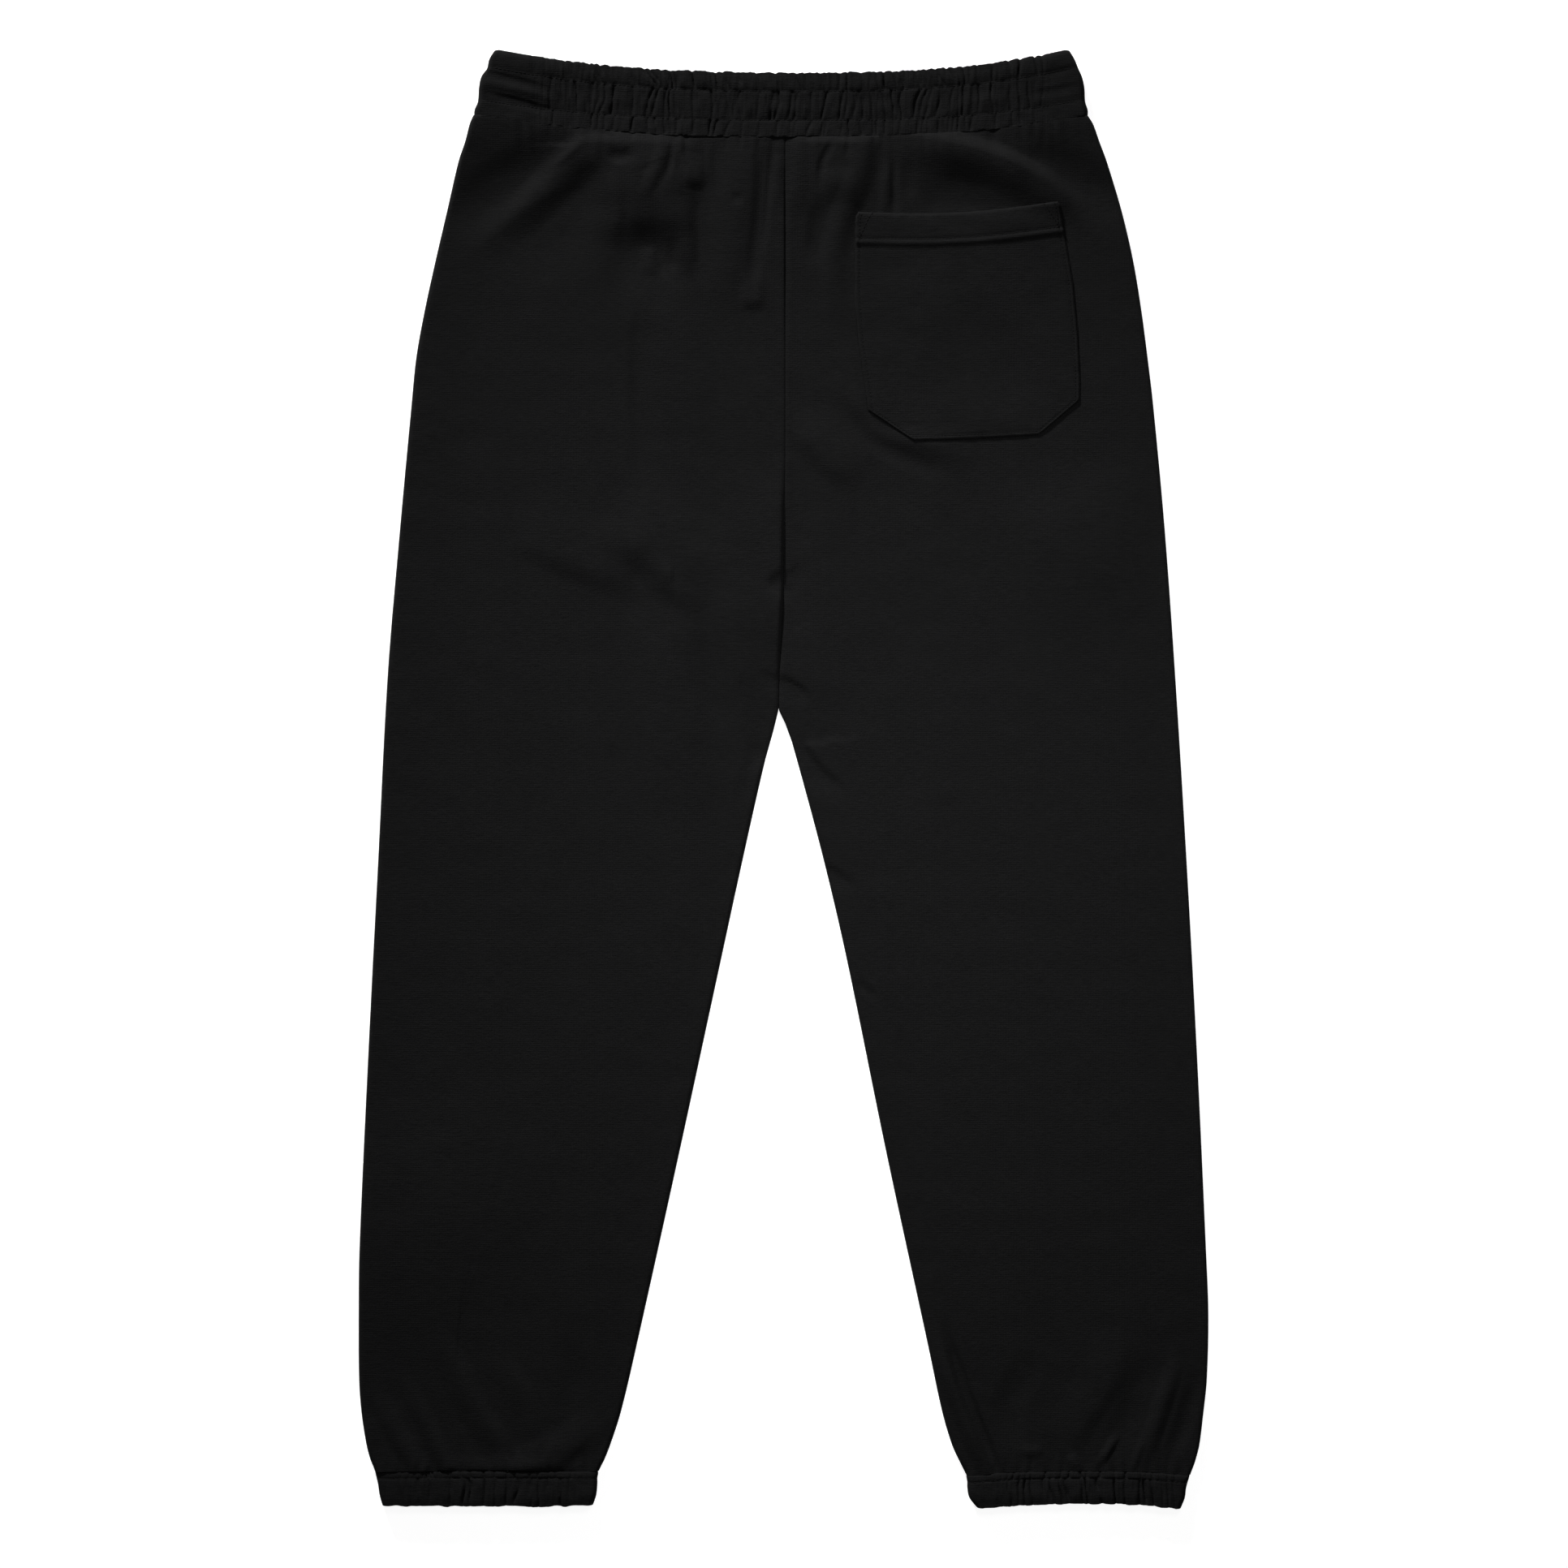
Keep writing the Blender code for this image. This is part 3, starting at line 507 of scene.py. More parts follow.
def to_points(x: np.ndarray, down: np.ndarray, z: np.ndarray) -> np.ndarray:
    """Metres in the part's frame, from the millimetres of the tables."""
    x, down, z = np.broadcast_arrays(x, down, z)
    return np.stack([x * MM, (LENGTH / 2 - down) * MM, z * MM], axis=-1)


# ---- meshes --------------------------------------------------------------------------------
def wall_mesh(name: str, outer: np.ndarray, inner: np.ndarray,
              closed: bool = False) -> bpy.types.Mesh:
    """A closed wall between a fine outer grid and a coarser inner one.

    Args:
        name: the mesh's name.
        outer: rows by columns by 3 coordinates, in metres.
        inner: the same with every n-th column, and with every n-th row unless closed.
        closed: True for a ring, whose last column joins its first.

    Returns:
        The new mesh.
    """
    rows, columns = outer.shape[:2]
    inner_rows, inner_columns = inner.shape[:2]
    first_inner = rows * columns
    open_end = 0 if closed else 1
    faces: list[tuple[int, ...]] = []

    def quads(count_rows: int, count_columns: int, start: int, flip: bool) -> None:
        """Adds the four-sided faces of a grid, turned over if flip."""
        i = np.arange(count_rows - 1)[:, None]
        j = np.arange(count_columns - open_end)[None, :]
        k = (j + 1) % count_columns
        cycle = [i * count_columns + j, i * count_columns + k,
                 (i + 1) * count_columns + k, (i + 1) * count_columns + j]
        if flip:
            cycle.reverse()
        table = np.stack([np.broadcast_to(c, (i.size, j.size)) for c in cycle], axis=-1) + start
        faces.extend(map(tuple, table.reshape(-1, 4).tolist()))

    def outer_at(row: int, column: int) -> int:
        """Number of a point of the outer grid."""
        return row * columns + column % columns

    def inner_at(row: int, column: int) -> int:
        """Number of a point of the inner grid."""
        return first_inner + row * inner_columns + column % inner_columns

    quads(rows, columns, 0, False)
    quads(inner_rows, inner_columns, first_inner, True)
    step = (columns - open_end) // (inner_columns - open_end)
    for row, inner_row in ((0, 0), (rows - 1, inner_rows - 1)):
        for j in range(inner_columns - open_end):
            fine = [outer_at(row, j * step + k) for k in range(step + 1)]
            faces.append((*fine, inner_at(inner_row, j + 1), inner_at(inner_row, j)))
    if not closed:
        step = (rows - 1) // (inner_rows - 1)
        for column, inner_column in ((0, 0), (columns - 1, inner_columns - 1)):
            for i in range(inner_rows - 1):
                fine = [outer_at(i * step + k, column) for k in range(step + 1)]
                faces.append((*fine, inner_at(i + 1, inner_column), inner_at(i, inner_column)))
    mesh = bpy.data.meshes.new(name)
    points = np.concatenate([outer.reshape(-1, 3), inner.reshape(-1, 3)])
    mesh.from_pydata(points.tolist(), [], faces)
    bm = bmesh.new()
    bm.from_mesh(mesh)
    bmesh.ops.recalc_face_normals(bm, faces=bm.faces[:])
    bm.to_mesh(mesh)
    bm.free()
    mesh.shade_smooth()
    mesh.set_sharp_from_angle(angle=math.radians(SHARP_DEGREES))
    return mesh


def new_piece(name: str, mesh: bpy.types.Mesh, material: bpy.types.Material) -> bpy.types.Object:
    """An object at the origin with one material."""
    mesh.materials.clear()
    mesh.materials.append(material)
    piece = bpy.data.objects.new(name, mesh)
    bpy.context.scene.collection.objects.link(piece)
    return piece


# ---- node trees and finishes ---------------------------------------------------------------
def add_sockets(tree: bpy.types.NodeTree, in_out: str, kinds: dict[str, str]) -> None:
    """Gives a node group named sockets, each of a kind such as Float or Color."""
    for name, kind in kinds.items():
        tree.interface.new_socket(name, in_out=in_out, socket_type=f"NodeSocket{kind}")


def feed(node: bpy.types.Node, feeds: dict[int | str, object]) -> None:
    """Fills a node's inputs: a socket is linked to its input and any other value is set in it."""
    for name, value in feeds.items():
        if isinstance(value, bpy.types.NodeSocket):
            node.id_data.links.new(value, node.inputs[name])
        else:
            node.inputs[name].default_value = value


def add_node(tree: bpy.types.NodeTree, kind: str, feeds: dict[int | str, object] | None = None,
             **options: object) -> bpy.types.Node:
    """Adds a node to a tree.

    Args:
        tree: the tree.
        kind: the node's type.
        feeds: sockets or values for its inputs.
        options: the node's own settings.

    Returns:
        The node.
    """
    node = tree.nodes.new(kind)
    for name, value in options.items():
        setattr(node, name, value)
    feed(node, feeds or {})
    return node


def new_material(name: str) -> tuple[bpy.types.Material, bpy.types.NodeTree, bpy.types.Node]:
    """A new material, its node tree and its shader."""
    material = bpy.data.materials.new(name)
    material.use_nodes = True
    return material, material.node_tree, material.node_tree.nodes["Principled BSDF"]


def knit_group() -> bpy.types.NodeTree:
    """Shader node group for a brushed knit: mottled colour, slubs and the height of its loops.

    Returns:
        The node group, with named inputs and outputs.
    """
    tree = bpy.data.node_groups.new("brushed_knit", "ShaderNodeTree")
    add_sockets(tree, "INPUT", {"Vector": "Vector", "Base": "Color", "Mottle": "Float",
                                "Slub": "Float", "Roughness": "Float"})
    add_sockets(tree, "OUTPUT", {"Color": "Color", "Rough": "Float", "Height": "Float"})
    given = tree.nodes.new("NodeGroupInput").outputs

    def noise(per_metre: tuple[float, float, float], detail: float) -> bpy.types.NodeSocket:
        """Smooth noise from 0 to 1."""
        mapping = add_node(tree, "ShaderNodeMapping", {"Vector": given["Vector"],
                                                       "Scale": per_metre})
        texture = add_node(tree, "ShaderNodeTexNoise", {"Vector": mapping.outputs["Vector"],
                                                        "Scale": 1.0, "Detail": detail})
        return texture.outputs["Fac"]

    def work(kind: str, a: object, b: object = 0.0) -> bpy.types.NodeSocket:
        """Result of a maths node on sockets or numbers."""
        return add_node(tree, "ShaderNodeMath", {0: a, 1: b}, operation=kind).outputs["Value"]

    def centred(value: bpy.types.NodeSocket, share: object) -> bpy.types.NodeSocket:
        """A value from 0 to 1, moved to lie about 0 and multiplied by share."""
        return work("MULTIPLY", work("SUBTRACT", value, 0.5), share)

    # broad shades, the nap and short slubs across the leg, in lumps per metre
    broad = noise((30.0, 75.0, 30.0), 4.0)
    pile = noise((900.0, 900.0, 900.0), 3.0)
    slub = noise((150.0, 1300.0, 150.0), 2.0)

    # ribs run along the leg, and the rows of loops across them lean up to each rib
    split = add_node(tree, "ShaderNodeSeparateXYZ", {"Vector": given["Vector"]}).outputs
    wale = work("SINE", work("MULTIPLY", split["X"], 2 * math.pi / WALE_PITCH))
    lean = work("MULTIPLY", work("ABSOLUTE", wale), 1.6)
    rows = work("MULTIPLY", split["Y"], 2 * math.pi / COURSE_PITCH)
    course = work("SINE", work("ADD", rows, lean))
    loops = work("ADD", work("MULTIPLY", wale, 0.5), work("MULTIPLY", course, 0.5))

    tone = work("ADD", centred(broad, given["Mottle"]), centred(slub, given["Slub"]))
    for part in (centred(pile, 0.9), work("MULTIPLY", loops, 0.12), 1.0):
        tone = work("ADD", tone, part)
    colour = add_node(tree, "ShaderNodeVectorMath", {0: given["Base"], "Scale": tone},
                      operation="SCALE")
    height = work("ADD", work("MULTIPLY", loops, 0.35), centred(pile, 1.4))
    add_node(tree, "NodeGroupOutput", {
        "Color": colour.outputs["Vector"],
        "Rough": work("ADD", given["Roughness"], centred(pile, 0.12)),
        "Height": work("ADD", height, centred(slub, 0.8))})
    return tree


@dataclass(frozen=True)
class KnitFinish:
    """A matt, nearly black brushed knit."""

    name: str
    base: tuple[float, float, float]
    mottle: float = 0.3
    slub: float = 0.9
    roughness: float = 0.86
    specular: float = 0.07
    sheen: float = 0.012
    sheen_roughness: float = 0.5
    bump: float = 0.00022

    def material(self, group: bpy.types.NodeTree) -> bpy.types.Material:
        """Makes the material.

        Args:
            group: the shared knit group.

        Returns:
            The material.
        """
        material, tree, shader = new_material(self.name)
        place = add_node(tree, "ShaderNodeTexCoord")
        knit = add_node(tree, "ShaderNodeGroup", {
            "Vector": place.outputs["Object"], "Base": (*self.base, 1.0), "Mottle": self.mottle,
            "Slub": self.slub, "Roughness": self.roughness}, node_tree=group)
        bump = add_node(tree, "ShaderNodeBump", {
            "Strength": 1.0, "Distance": self.bump, "Height": knit.outputs["Height"]})
        feed(shader, {
            "Base Color": knit.outputs["Color"], "Roughness": knit.outputs["Rough"],
            "Normal": bump.outputs["Normal"], "Specular IOR Level": self.specular,
            "Sheen Weight": self.sheen, "Sheen Roughness": self.sheen_roughness})
        return material


@dataclass(frozen=True)
class ThreadFinish:
    """Black sewing thread with a faint twist; the same material colours the painted shadow line
    round the pocket's foot.
    """

    name: str = "black_thread_and_painted_shadow"
    base: tuple[float, float, float] = (0.0045, 0.0045, 0.0046)
    roughness: float = 0.55
    specular: float = 0.12
    twist_pitch: float = 0.0005
    bump: float = 0.00008

    def material(self) -> bpy.types.Material:
        """Makes the material."""
        material, tree, shader = new_material(self.name)
        place = add_node(tree, "ShaderNodeTexCoord")
        wave = add_node(tree, "ShaderNodeTexWave", {
            "Vector": place.outputs["Object"], "Scale": WAVE_SCALE / self.twist_pitch},
            bands_direction="DIAGONAL")
        bump = add_node(tree, "ShaderNodeBump", {
            "Distance": self.bump, "Height": wave.outputs["Fac"]})
        feed(shader, {
            "Base Color": (*self.base, 1.0), "Roughness": self.roughness,
            "Specular IOR Level": self.specular, "Normal": bump.outputs["Normal"]})
        return material


# ---- gathers -------------------------------------------------------------------------------
@dataclass
class Gathers:
    """Puffs of cloth between sharp creases, along one band."""

    low: float
    high: float
    count: int
    seed: int
    narrow_share: float = 0.3
    narrow: tuple[float, float] = (0.35, 0.6)
    wide: tuple[float, float] = (0.8, 1.7)
    valley_place: float = 0.86
    sway: float = 0.9
    end_margin: float = 6.0
    closest: float = 2.4
    full_width: float = 7.0
    end_depth: float = 0.15
    end_gain: float = 0.16
    least_depth: float = 0.3
    depth_power: float = 1.3
    least_puff: float = 0.2
    valleys: np.ndarray = field(init=False)

    def __post_init__(self) -> None:
        """Places the creases."""
        rng = random.Random(self.seed)
        widths = [rng.uniform(*self.narrow) if rng.random() < self.narrow_share
                  else rng.uniform(*self.wide) for _ in range(self.count)]
        scale = (self.high - self.low) / sum(widths)
        place, valleys = self.low, [self.low]
        for width in widths:
            valleys.append(place + self.valley_place * width * scale)
            place += width * scale
        self.valleys = np.array(valleys + [self.high + 2.0])

    def row(self, seed: int, extra: int) -> tuple[np.ndarray, np.ndarray, np.ndarray]:
        """Creases of one sewn row: the shared ones, moved a little, and some of its own.

        Args:
            seed: the row's seed.
            extra: how many short creases only this row has.

        Returns:
            Crease places, their depths, and the heights of the puffs between them.
        """
        rng = np.random.default_rng(seed)
        moved = self.valleys + rng.uniform(-self.sway, self.sway, self.valleys.size)
        own = rng.uniform(self.low + self.end_margin, self.high - self.end_margin, extra)
        places = np.sort(np.concatenate([moved, own]))
        places = places[np.concatenate([[True], np.diff(places) > self.closest])]
        from_end = np.minimum(np.arange(places.size), np.arange(places.size)[::-1])
        fade = np.clip(self.end_depth + self.end_gain * from_end, 0.0, 1.0)
        chance = rng.uniform(0.0, 1.0, places.size) ** self.depth_power
        depths = (self.least_depth + (1.0 - self.least_depth) * chance) * fade
        widths = np.diff(places)
        heights = rng.uniform(self.least_puff, 1.0, widths.size)
        heights = heights * np.clip(widths / self.full_width, 0.3, 1.1)
        return places, depths, heights * np.minimum(fade[1:], fade[:-1])


def puffs(x: np.ndarray, places: np.ndarray, depths: np.ndarray,
          heights: np.ndarray) -> tuple[np.ndarray, np.ndarray]:
    """Shape of puffs between creases: sharp at a crease and flat between two.

    Args:
        x: places to read.
        places: the creases, in order.
        depths: how deep each crease is, from 0 to 1.
        heights: how high each puff is, one fewer than the creases.

    Returns:
        The puffs, from 0 to about 1, and the creases, from -1 to 0. Both are 0 beyond the ends.
    """
    k = np.clip(np.searchsorted(places, x) - 1, 0, places.size - 2)
    width = places[k + 1] - places[k]
    t = np.clip((x - places[k]) / width, 0.0, 1.0)
    from_crease = np.minimum(t, 1.0 - t) * width
    depth = depths[k] * (1 - t) + depths[k + 1] * t
    crown = heights[k] * (1.0 - np.abs(2.0 * t - 1.0) ** 3)
    crease = -depth * np.exp(-((from_crease / CREASE_WIDTH) ** 1.5))
    inside = (x > places[0]) & (x < places[-1])
    return np.where(inside, crown, 0.0), np.where(inside, crease, 0.0)


@dataclass
class GatheredBand:
    """A flattened elastic ring with sewn rows of gathers on its upper side."""

    name: str
    rings: list[Ring]
    stitched: tuple[int, ...]
    rows: tuple[SewnRow, ...]
    gathers: Gathers
    seed: int
    folds: tuple[Fold, ...] = ()
    column_step: float = 0.62
    turn_columns: int = 7
    front_columns: int = 40
    row_count: int = 61
    coarse: tuple[int, int] = (10, 4)
    wall: float = 3.6
    row_bounds: tuple[float, float] = (-0.08, 1.1)
    gather_in: float = 0.36
    streaks_in: float = 20.0
    deepest: float = 2.4
    scallop: float = 0.7
    scallop_from: float = 0.12
    free_edge_from: float = 0.9
    row_sway: Lumps = Lumps(1.0, 19.0, 10.0, 0)
    crease_sway: Lumps = Lumps(1.8, 10.0, 11.0, 30)
    crease_length: Lumps = Lumps(0.6, 4.0, 8.0, 40)
    uneven: Lumps = Lumps(0.3, 8.0, 7.0, 50)
    streaks: Lumps = Lumps(1.0, 1.7, 9.0, 60)
    edge_sway: Lumps = Lumps(0.6, 6.0, 9.0, 70)
    stitch_bite: Lumps = Lumps(0.25, 3.1, 10.0, 91)
    crease_share: float = 0.65
    bite_share: float = 0.75
    row_seed_step: int = 7

    def places(self) -> list[float]:
        """Fraction of the band's height at each ring of the table."""
        first, last = self.rings[0].middle_down, self.rings[-1].middle_down
        return [(ring.middle_down - first) / (last - first) for ring in self.rings]

    def ring_values(self, t: np.ndarray) -> dict[str, np.ndarray]:
        """Smooth ring sizes at fractions t of the band's height, 0 at the top."""
        return {name: read_curve(list(zip(self.places(), values)), t)
                for name, values in zip(Ring._fields, zip(*self.rings))}

    def columns(self) -> tuple[np.ndarray, np.ndarray]:
        """(across from -1 to 1, angle round the edge) of every column, all round the band."""
        quarter = math.pi / 2
        every = self.coarse[1]
        width = self.rings[0].right - self.rings[0].left
        back_columns = int(round(width / self.column_step / (2 * every))) * 2 * every
        rising = np.linspace(0.0, quarter, self.turn_columns + 1)[:-1]
        falling = np.linspace(quarter, 0.0, self.turn_columns + 1)[1:]
        back = np.linspace(-1.0, 1.0, back_columns + 1)
        front = np.linspace(1.0, -1.0, self.front_columns + 1)
        runs = ((-1.0, rising), (back, quarter), (1.0, falling), (1.0, -rising[1:]),
                (front, -quarter), (-1.0, -falling[:-1]))
        pairs = [np.broadcast_arrays(*run) for run in runs]
        across, angle = (np.concatenate(values) for values in zip(*pairs))
        whole = across.size - across.size % every
        return across[:whole], angle[:whole]

    def relief(self, t: np.ndarray, x: np.ndarray) -> np.ndarray:
        """Height that gathers, creases and stitch grooves add to the upper side.

        Args:
            t: fraction of the band's height.
            x: places across.

        Returns:
            Heights in millimetres.
        """
        places = [self.places()[i] for i in self.stitched]
        above, below = self.row_bounds
        bounds = [above, *places] if places[-1] == 1.0 else [above, *places, below]
        total = np.zeros(np.broadcast(t, x).shape)
        span = self.rings[-1].middle_down - self.rings[0].middle_down
        to_end = np.minimum(x - self.gathers.low, self.gathers.high - x)
        gathered = smooth_step(0.0, self.streaks_in, to_end)
        for index, (top, bottom, row) in enumerate(zip(bounds, bounds[1:], self.rows)):
            inside = (t - top) / (bottom - top)
            to_stitches = np.clip(np.minimum(inside, 1.0 - inside) / self.gather_in, 0.0, 1.0)
            full = np.sqrt(1.0 - (1.0 - to_stitches) ** 2)
            row_seed = self.seed + self.row_seed_step * index
            sway = self.row_sway.at(x, 0 * x, row_seed) + row.lean_bias
            sway = sway * (inside - 0.5) * row.lean + self.crease_sway.at(x, t * span, self.seed)
            crown, crease = puffs(x + sway, *self.gathers.row(self.seed + index, row.extra))
            length = self.crease_share + self.crease_length.at(x, t * span, self.seed + index)
            value = row.puff * full * crown + row.crease * (0.5 + 0.5 * full) * crease * length
            streak = self.streaks.at(x, t * span, self.seed + index)
            value = value + row.streak * gathered * streak + row.slope * (0.5 - inside)
            total = np.where((inside >= 0) & (inside < 1), np.maximum(value, -self.deepest), total)
        for place, row in zip(places, self.rows):
            bite = self.bite_share + self.stitch_bite.at(x, 0 * x, self.seed)
            total = total - row.tuck * bite * bell((t - place) * span, row.tuck_width)
        return total

    def line(self, across: np.ndarray, ring: int, lift: float) -> np.ndarray:
        """Points, in metres, along a ring of the upper side, raised by lift."""
        place = np.full_like(across, self.places()[ring])
        points = self.points(across, np.full_like(across, math.pi / 2), place)
        return points + (0.0, 0.0, lift * MM)

    def points(self, across: np.ndarray, angle: np.ndarray, t: np.ndarray,
               wall: float = 0.0) -> np.ndarray:
        """Points round the band.

        Args:
            across: fractions across, -1 to 1.
            angle: angle round the turned edge; a right angle is the upper side.
            t: fraction of the band's height.
            wall: how far inside the outer side.

        Returns:
            Points in metres.
        """
        ring = self.ring_values(t)
        middle = BAND_TOP / 2
        radius = middle - wall
        left, right = ring["left"] + middle, ring["right"] - middle
        flat_x = left + (right - left) * (across + 1.0) / 2
        turned = np.abs(across) == 1.0
        x = flat_x + np.sign(across) * radius * np.cos(angle) * turned
        down = ring["side_down"] + (ring["middle_down"] - ring["side_down"]) * middle_share(across)
        z = middle + radius * np.sin(angle)
        if wall == 0.0:
            up = np.clip(np.sin(angle), 0.0, 1.0)
            relief = self.relief(t, flat_x)
            z = z + up * (ring["rise"] + relief + fold_heights(self.folds, flat_x, down))
            z = z + up * self.uneven.at(flat_x, down, self.seed)
            near_top = np.clip(1.0 - t / self.scallop_from, 0.0, 1.0)
            down = down - self.scallop * near_top * up * relief
            if self.rings[self.stitched[-1]] is not self.rings[-1]:
                free = np.clip((t - self.free_edge_from) / (1.0 - self.free_edge_from), 0.0, 1.0)
                down = down + free * self.edge_sway.at(flat_x, 0 * flat_x, self.seed)
        return to_points(x, down, z)

    def build(self, material: bpy.types.Material) -> bpy.types.Object:
        """Makes the band's closed wall."""
        across, angle = (values[None, :] for values in self.columns())
        t = np.linspace(0.0, 1.0, self.row_count)[:, None]
        rows, columns = self.coarse
        outer = self.points(across, angle, t)
        inner = self.points(across[:, ::columns], angle[:, ::columns], t[::rows], self.wall)
        return new_piece(self.name, wall_mesh(self.name, outer, inner, closed=True), material)


# ---- legs ----------------------------------------------------------------------------------
class Puckers(NamedTuple):
    """Small creases that run out of a seam: the least and the most of their measures.

    The measures are length, depth, drift aside and width. A crease has a low shoulder on both
    sides, whose height is a share of the crease's depth.
    """

    least: tuple[float, float, float, float]
    most: tuple[float, float, float, float]
    shoulder: float
    shoulder_away: float = 1.9
    fade_power: float = 1.2

    def at(self, places: np.ndarray, x: np.ndarray, past: np.ndarray,
           rng: np.random.Generator) -> np.ndarray:
        """Height of the creases.

        Args:
            places: x of each crease at the seam.
            x: places across.
            past: distance from the seam.
            rng: the source of each crease's measures.

        Returns:
            Heights in millimetres.
        """
        total = np.zeros_like(x)
        for place in places:
            length, depth, drift, width = rng.uniform(self.least, self.most)
            away = (x - place - drift * past) / width
            fade = depth * np.clip(1.0 - past / length, 0.0, 1.0) ** self.fade_power
            shoulders = self.shoulder * bell(np.abs(away) - self.shoulder_away)
            total += fade * (shoulders - bell(away))
        return total


@dataclass
class Drape:
    """The back cloth's height over the floor, with every fold, dent and pucker."""

    waist_puckers: np.ndarray
    cuff_puckers: np.ndarray
    top: float = 7.0
    lowest: float = 4.7
    waist_puff: float = 1.0
    waist_puff_length: float = 150.0
    cuff_puff: float = 0.9
    cuff_puff_from: float = 965.0
    side_swell: dict[Side, float] = field(
        default_factory=lambda: {Side.LEFT: 2.8, Side.RIGHT: -0.9})
    side_swell_width: float = 54.0
    inner_swell: dict[Side, float] = field(
        default_factory=lambda: {Side.LEFT: 0.5, Side.RIGHT: -0.3})
    inner_swell_width: float = 26.0
    leg_opens: tuple[float, float] = (300.0, 376.0)
    crotch_apex: float = 471.0
    packed_rows: float = 120.0
    cuff_rows: float = 60.0
    seam_overlap: float = 0.05
    pocket_area: tuple[float, float, float, float] = (64.0, 198.0, 124.0, 266.0)
    calm_edge: float = 16.0
    calm_least: float = 0.2
    waist_seam: Welt = Welt(0.0, -0.15, 1.2)
    centre_groove: Welt = Welt(0.0, -0.8, 0.8)
    centre_ridge: Welt = Welt(3.2, 0.12, 1.8)
    centre_lumps: Lumps = Lumps(0.12, 90.0, 3.2, 9)
    centre_lumps_reach: float = 5.0
    uneven: tuple[Lumps, ...] = (Lumps(0.3, 44.0, 60.0, 5), Lumps(0.14, 15.0, 12.0, 6))
    from_waist: Puckers = Puckers((6, 0.1, -0.12, 1.6), (30, 0.8, 0.12, 3.2), 0.5)
    from_cuff: Puckers = Puckers((5, 0.1, -0.14, 1.6), (20, 0.6, 0.14, 2.6), 0.45)
    pucker_seed: int = 77

    def outer_edge(self, side: Side, down: np.ndarray) -> np.ndarray:
        """x of the side seam."""
        return edge_curve(OUTSEAM, side, down)

    def inner_edge(self, side: Side, down: np.ndarray) -> np.ndarray:
        """x of the centre seam, or of the inner leg seam below the crotch."""
        seat = read_curve(CENTRE_SEAM, down) - side.value * self.seam_overlap
        return np.where(np.asarray(down) <= self.crotch_apex, seat, edge_curve(INSEAM, side, down))

    def row_down(self, x: np.ndarray, middle_down: np.ndarray) -> np.ndarray:
        """Distance below the waist, at x, of a row of points named by its middle."""
        seam = WAISTBAND_RINGS[-1]
        past_waist = (middle_down - seam.middle_down) / self.packed_rows
        near_waist = np.clip(1.0 - past_waist, 0.0, None)
        near_cuff = np.clip(1.0 - (LAST_ROW - middle_down) / self.cuff_rows, 0.0, None)
        cuff_bend = np.where(x > 0, *(ring_bend(rings[0], x)
                                      for rings in (RIGHT_CUFF_RINGS, LEFT_CUFF_RINGS)))
        return middle_down + ring_bend(seam, x) * near_waist + cuff_bend * near_cuff

    def calm(self, x: np.ndarray, down: np.ndarray) -> np.ndarray:
        """Share of the folds that is left: little under the pocket, and 1 away from it."""
        left, right, top, bottom = self.pocket_area
        outside = np.maximum.reduce([left - x, x - right, top - down, down - bottom])
        return self.calm_least + (1.0 - self.calm_least) * smooth_step(0.0, self.calm_edge, outside)

    def height(self, side: Side, x: np.ndarray, down: np.ndarray) -> np.ndarray:
        """Height of the back cloth's outer side, in millimetres."""
        x, down = np.broadcast_arrays(x, down)
        below = down - self.row_down(x, np.full_like(x, WAISTBAND_RINGS[-1].middle_down))
        z = self.top + self.waist_puff * (1.0 - smooth_step(0.0, self.waist_puff_length, below))
        z = z + self.cuff_puff * smooth_step(self.cuff_puff_from, LAST_ROW, down)

        to_side = np.abs(x - self.outer_edge(side, down))
        to_inner = np.abs(x - self.inner_edge(side, down))
        legs = smooth_step(self.leg_opens[0], self.crotch_apex, down)
        near_side = np.clip(1.0 - to_side / self.side_swell_width, 0.0, None)
        near_inner = np.clip(1.0 - to_inner / self.inner_swell_width, 0.0, None)
        z = z + self.side_swell[side] * near_side**2 + self.inner_swell[side] * legs * near_inner**2

        rng = np.random.default_rng(self.pucker_seed + side.value)
        soft = fold_heights(LARGE_FOLDS + SMALL_FOLDS, x, down)
        soft = soft + sum(lumps.at(x, down) for lumps in self.uneven)
        soft = soft + self.from_waist.at(self.waist_puckers, x, below, rng)
        soft = soft + self.from_cuff.at(self.cuff_puckers, x, LAST_ROW - down, rng)
        z = z + self.calm(x, down) * soft + fold_heights(SEAT_FOLDS, x, down)

        seat = 1.0 - smooth_step(*self.leg_opens, down)
        lumps = np.exp(-to_inner / self.centre_lumps_reach) * self.centre_lumps.at(x, down)
        centre = self.centre_groove.at(to_inner) + self.centre_ridge.at(to_inner) + lumps
        return np.maximum(z + self.waist_seam.at(below) + seat * centre, self.lowest)


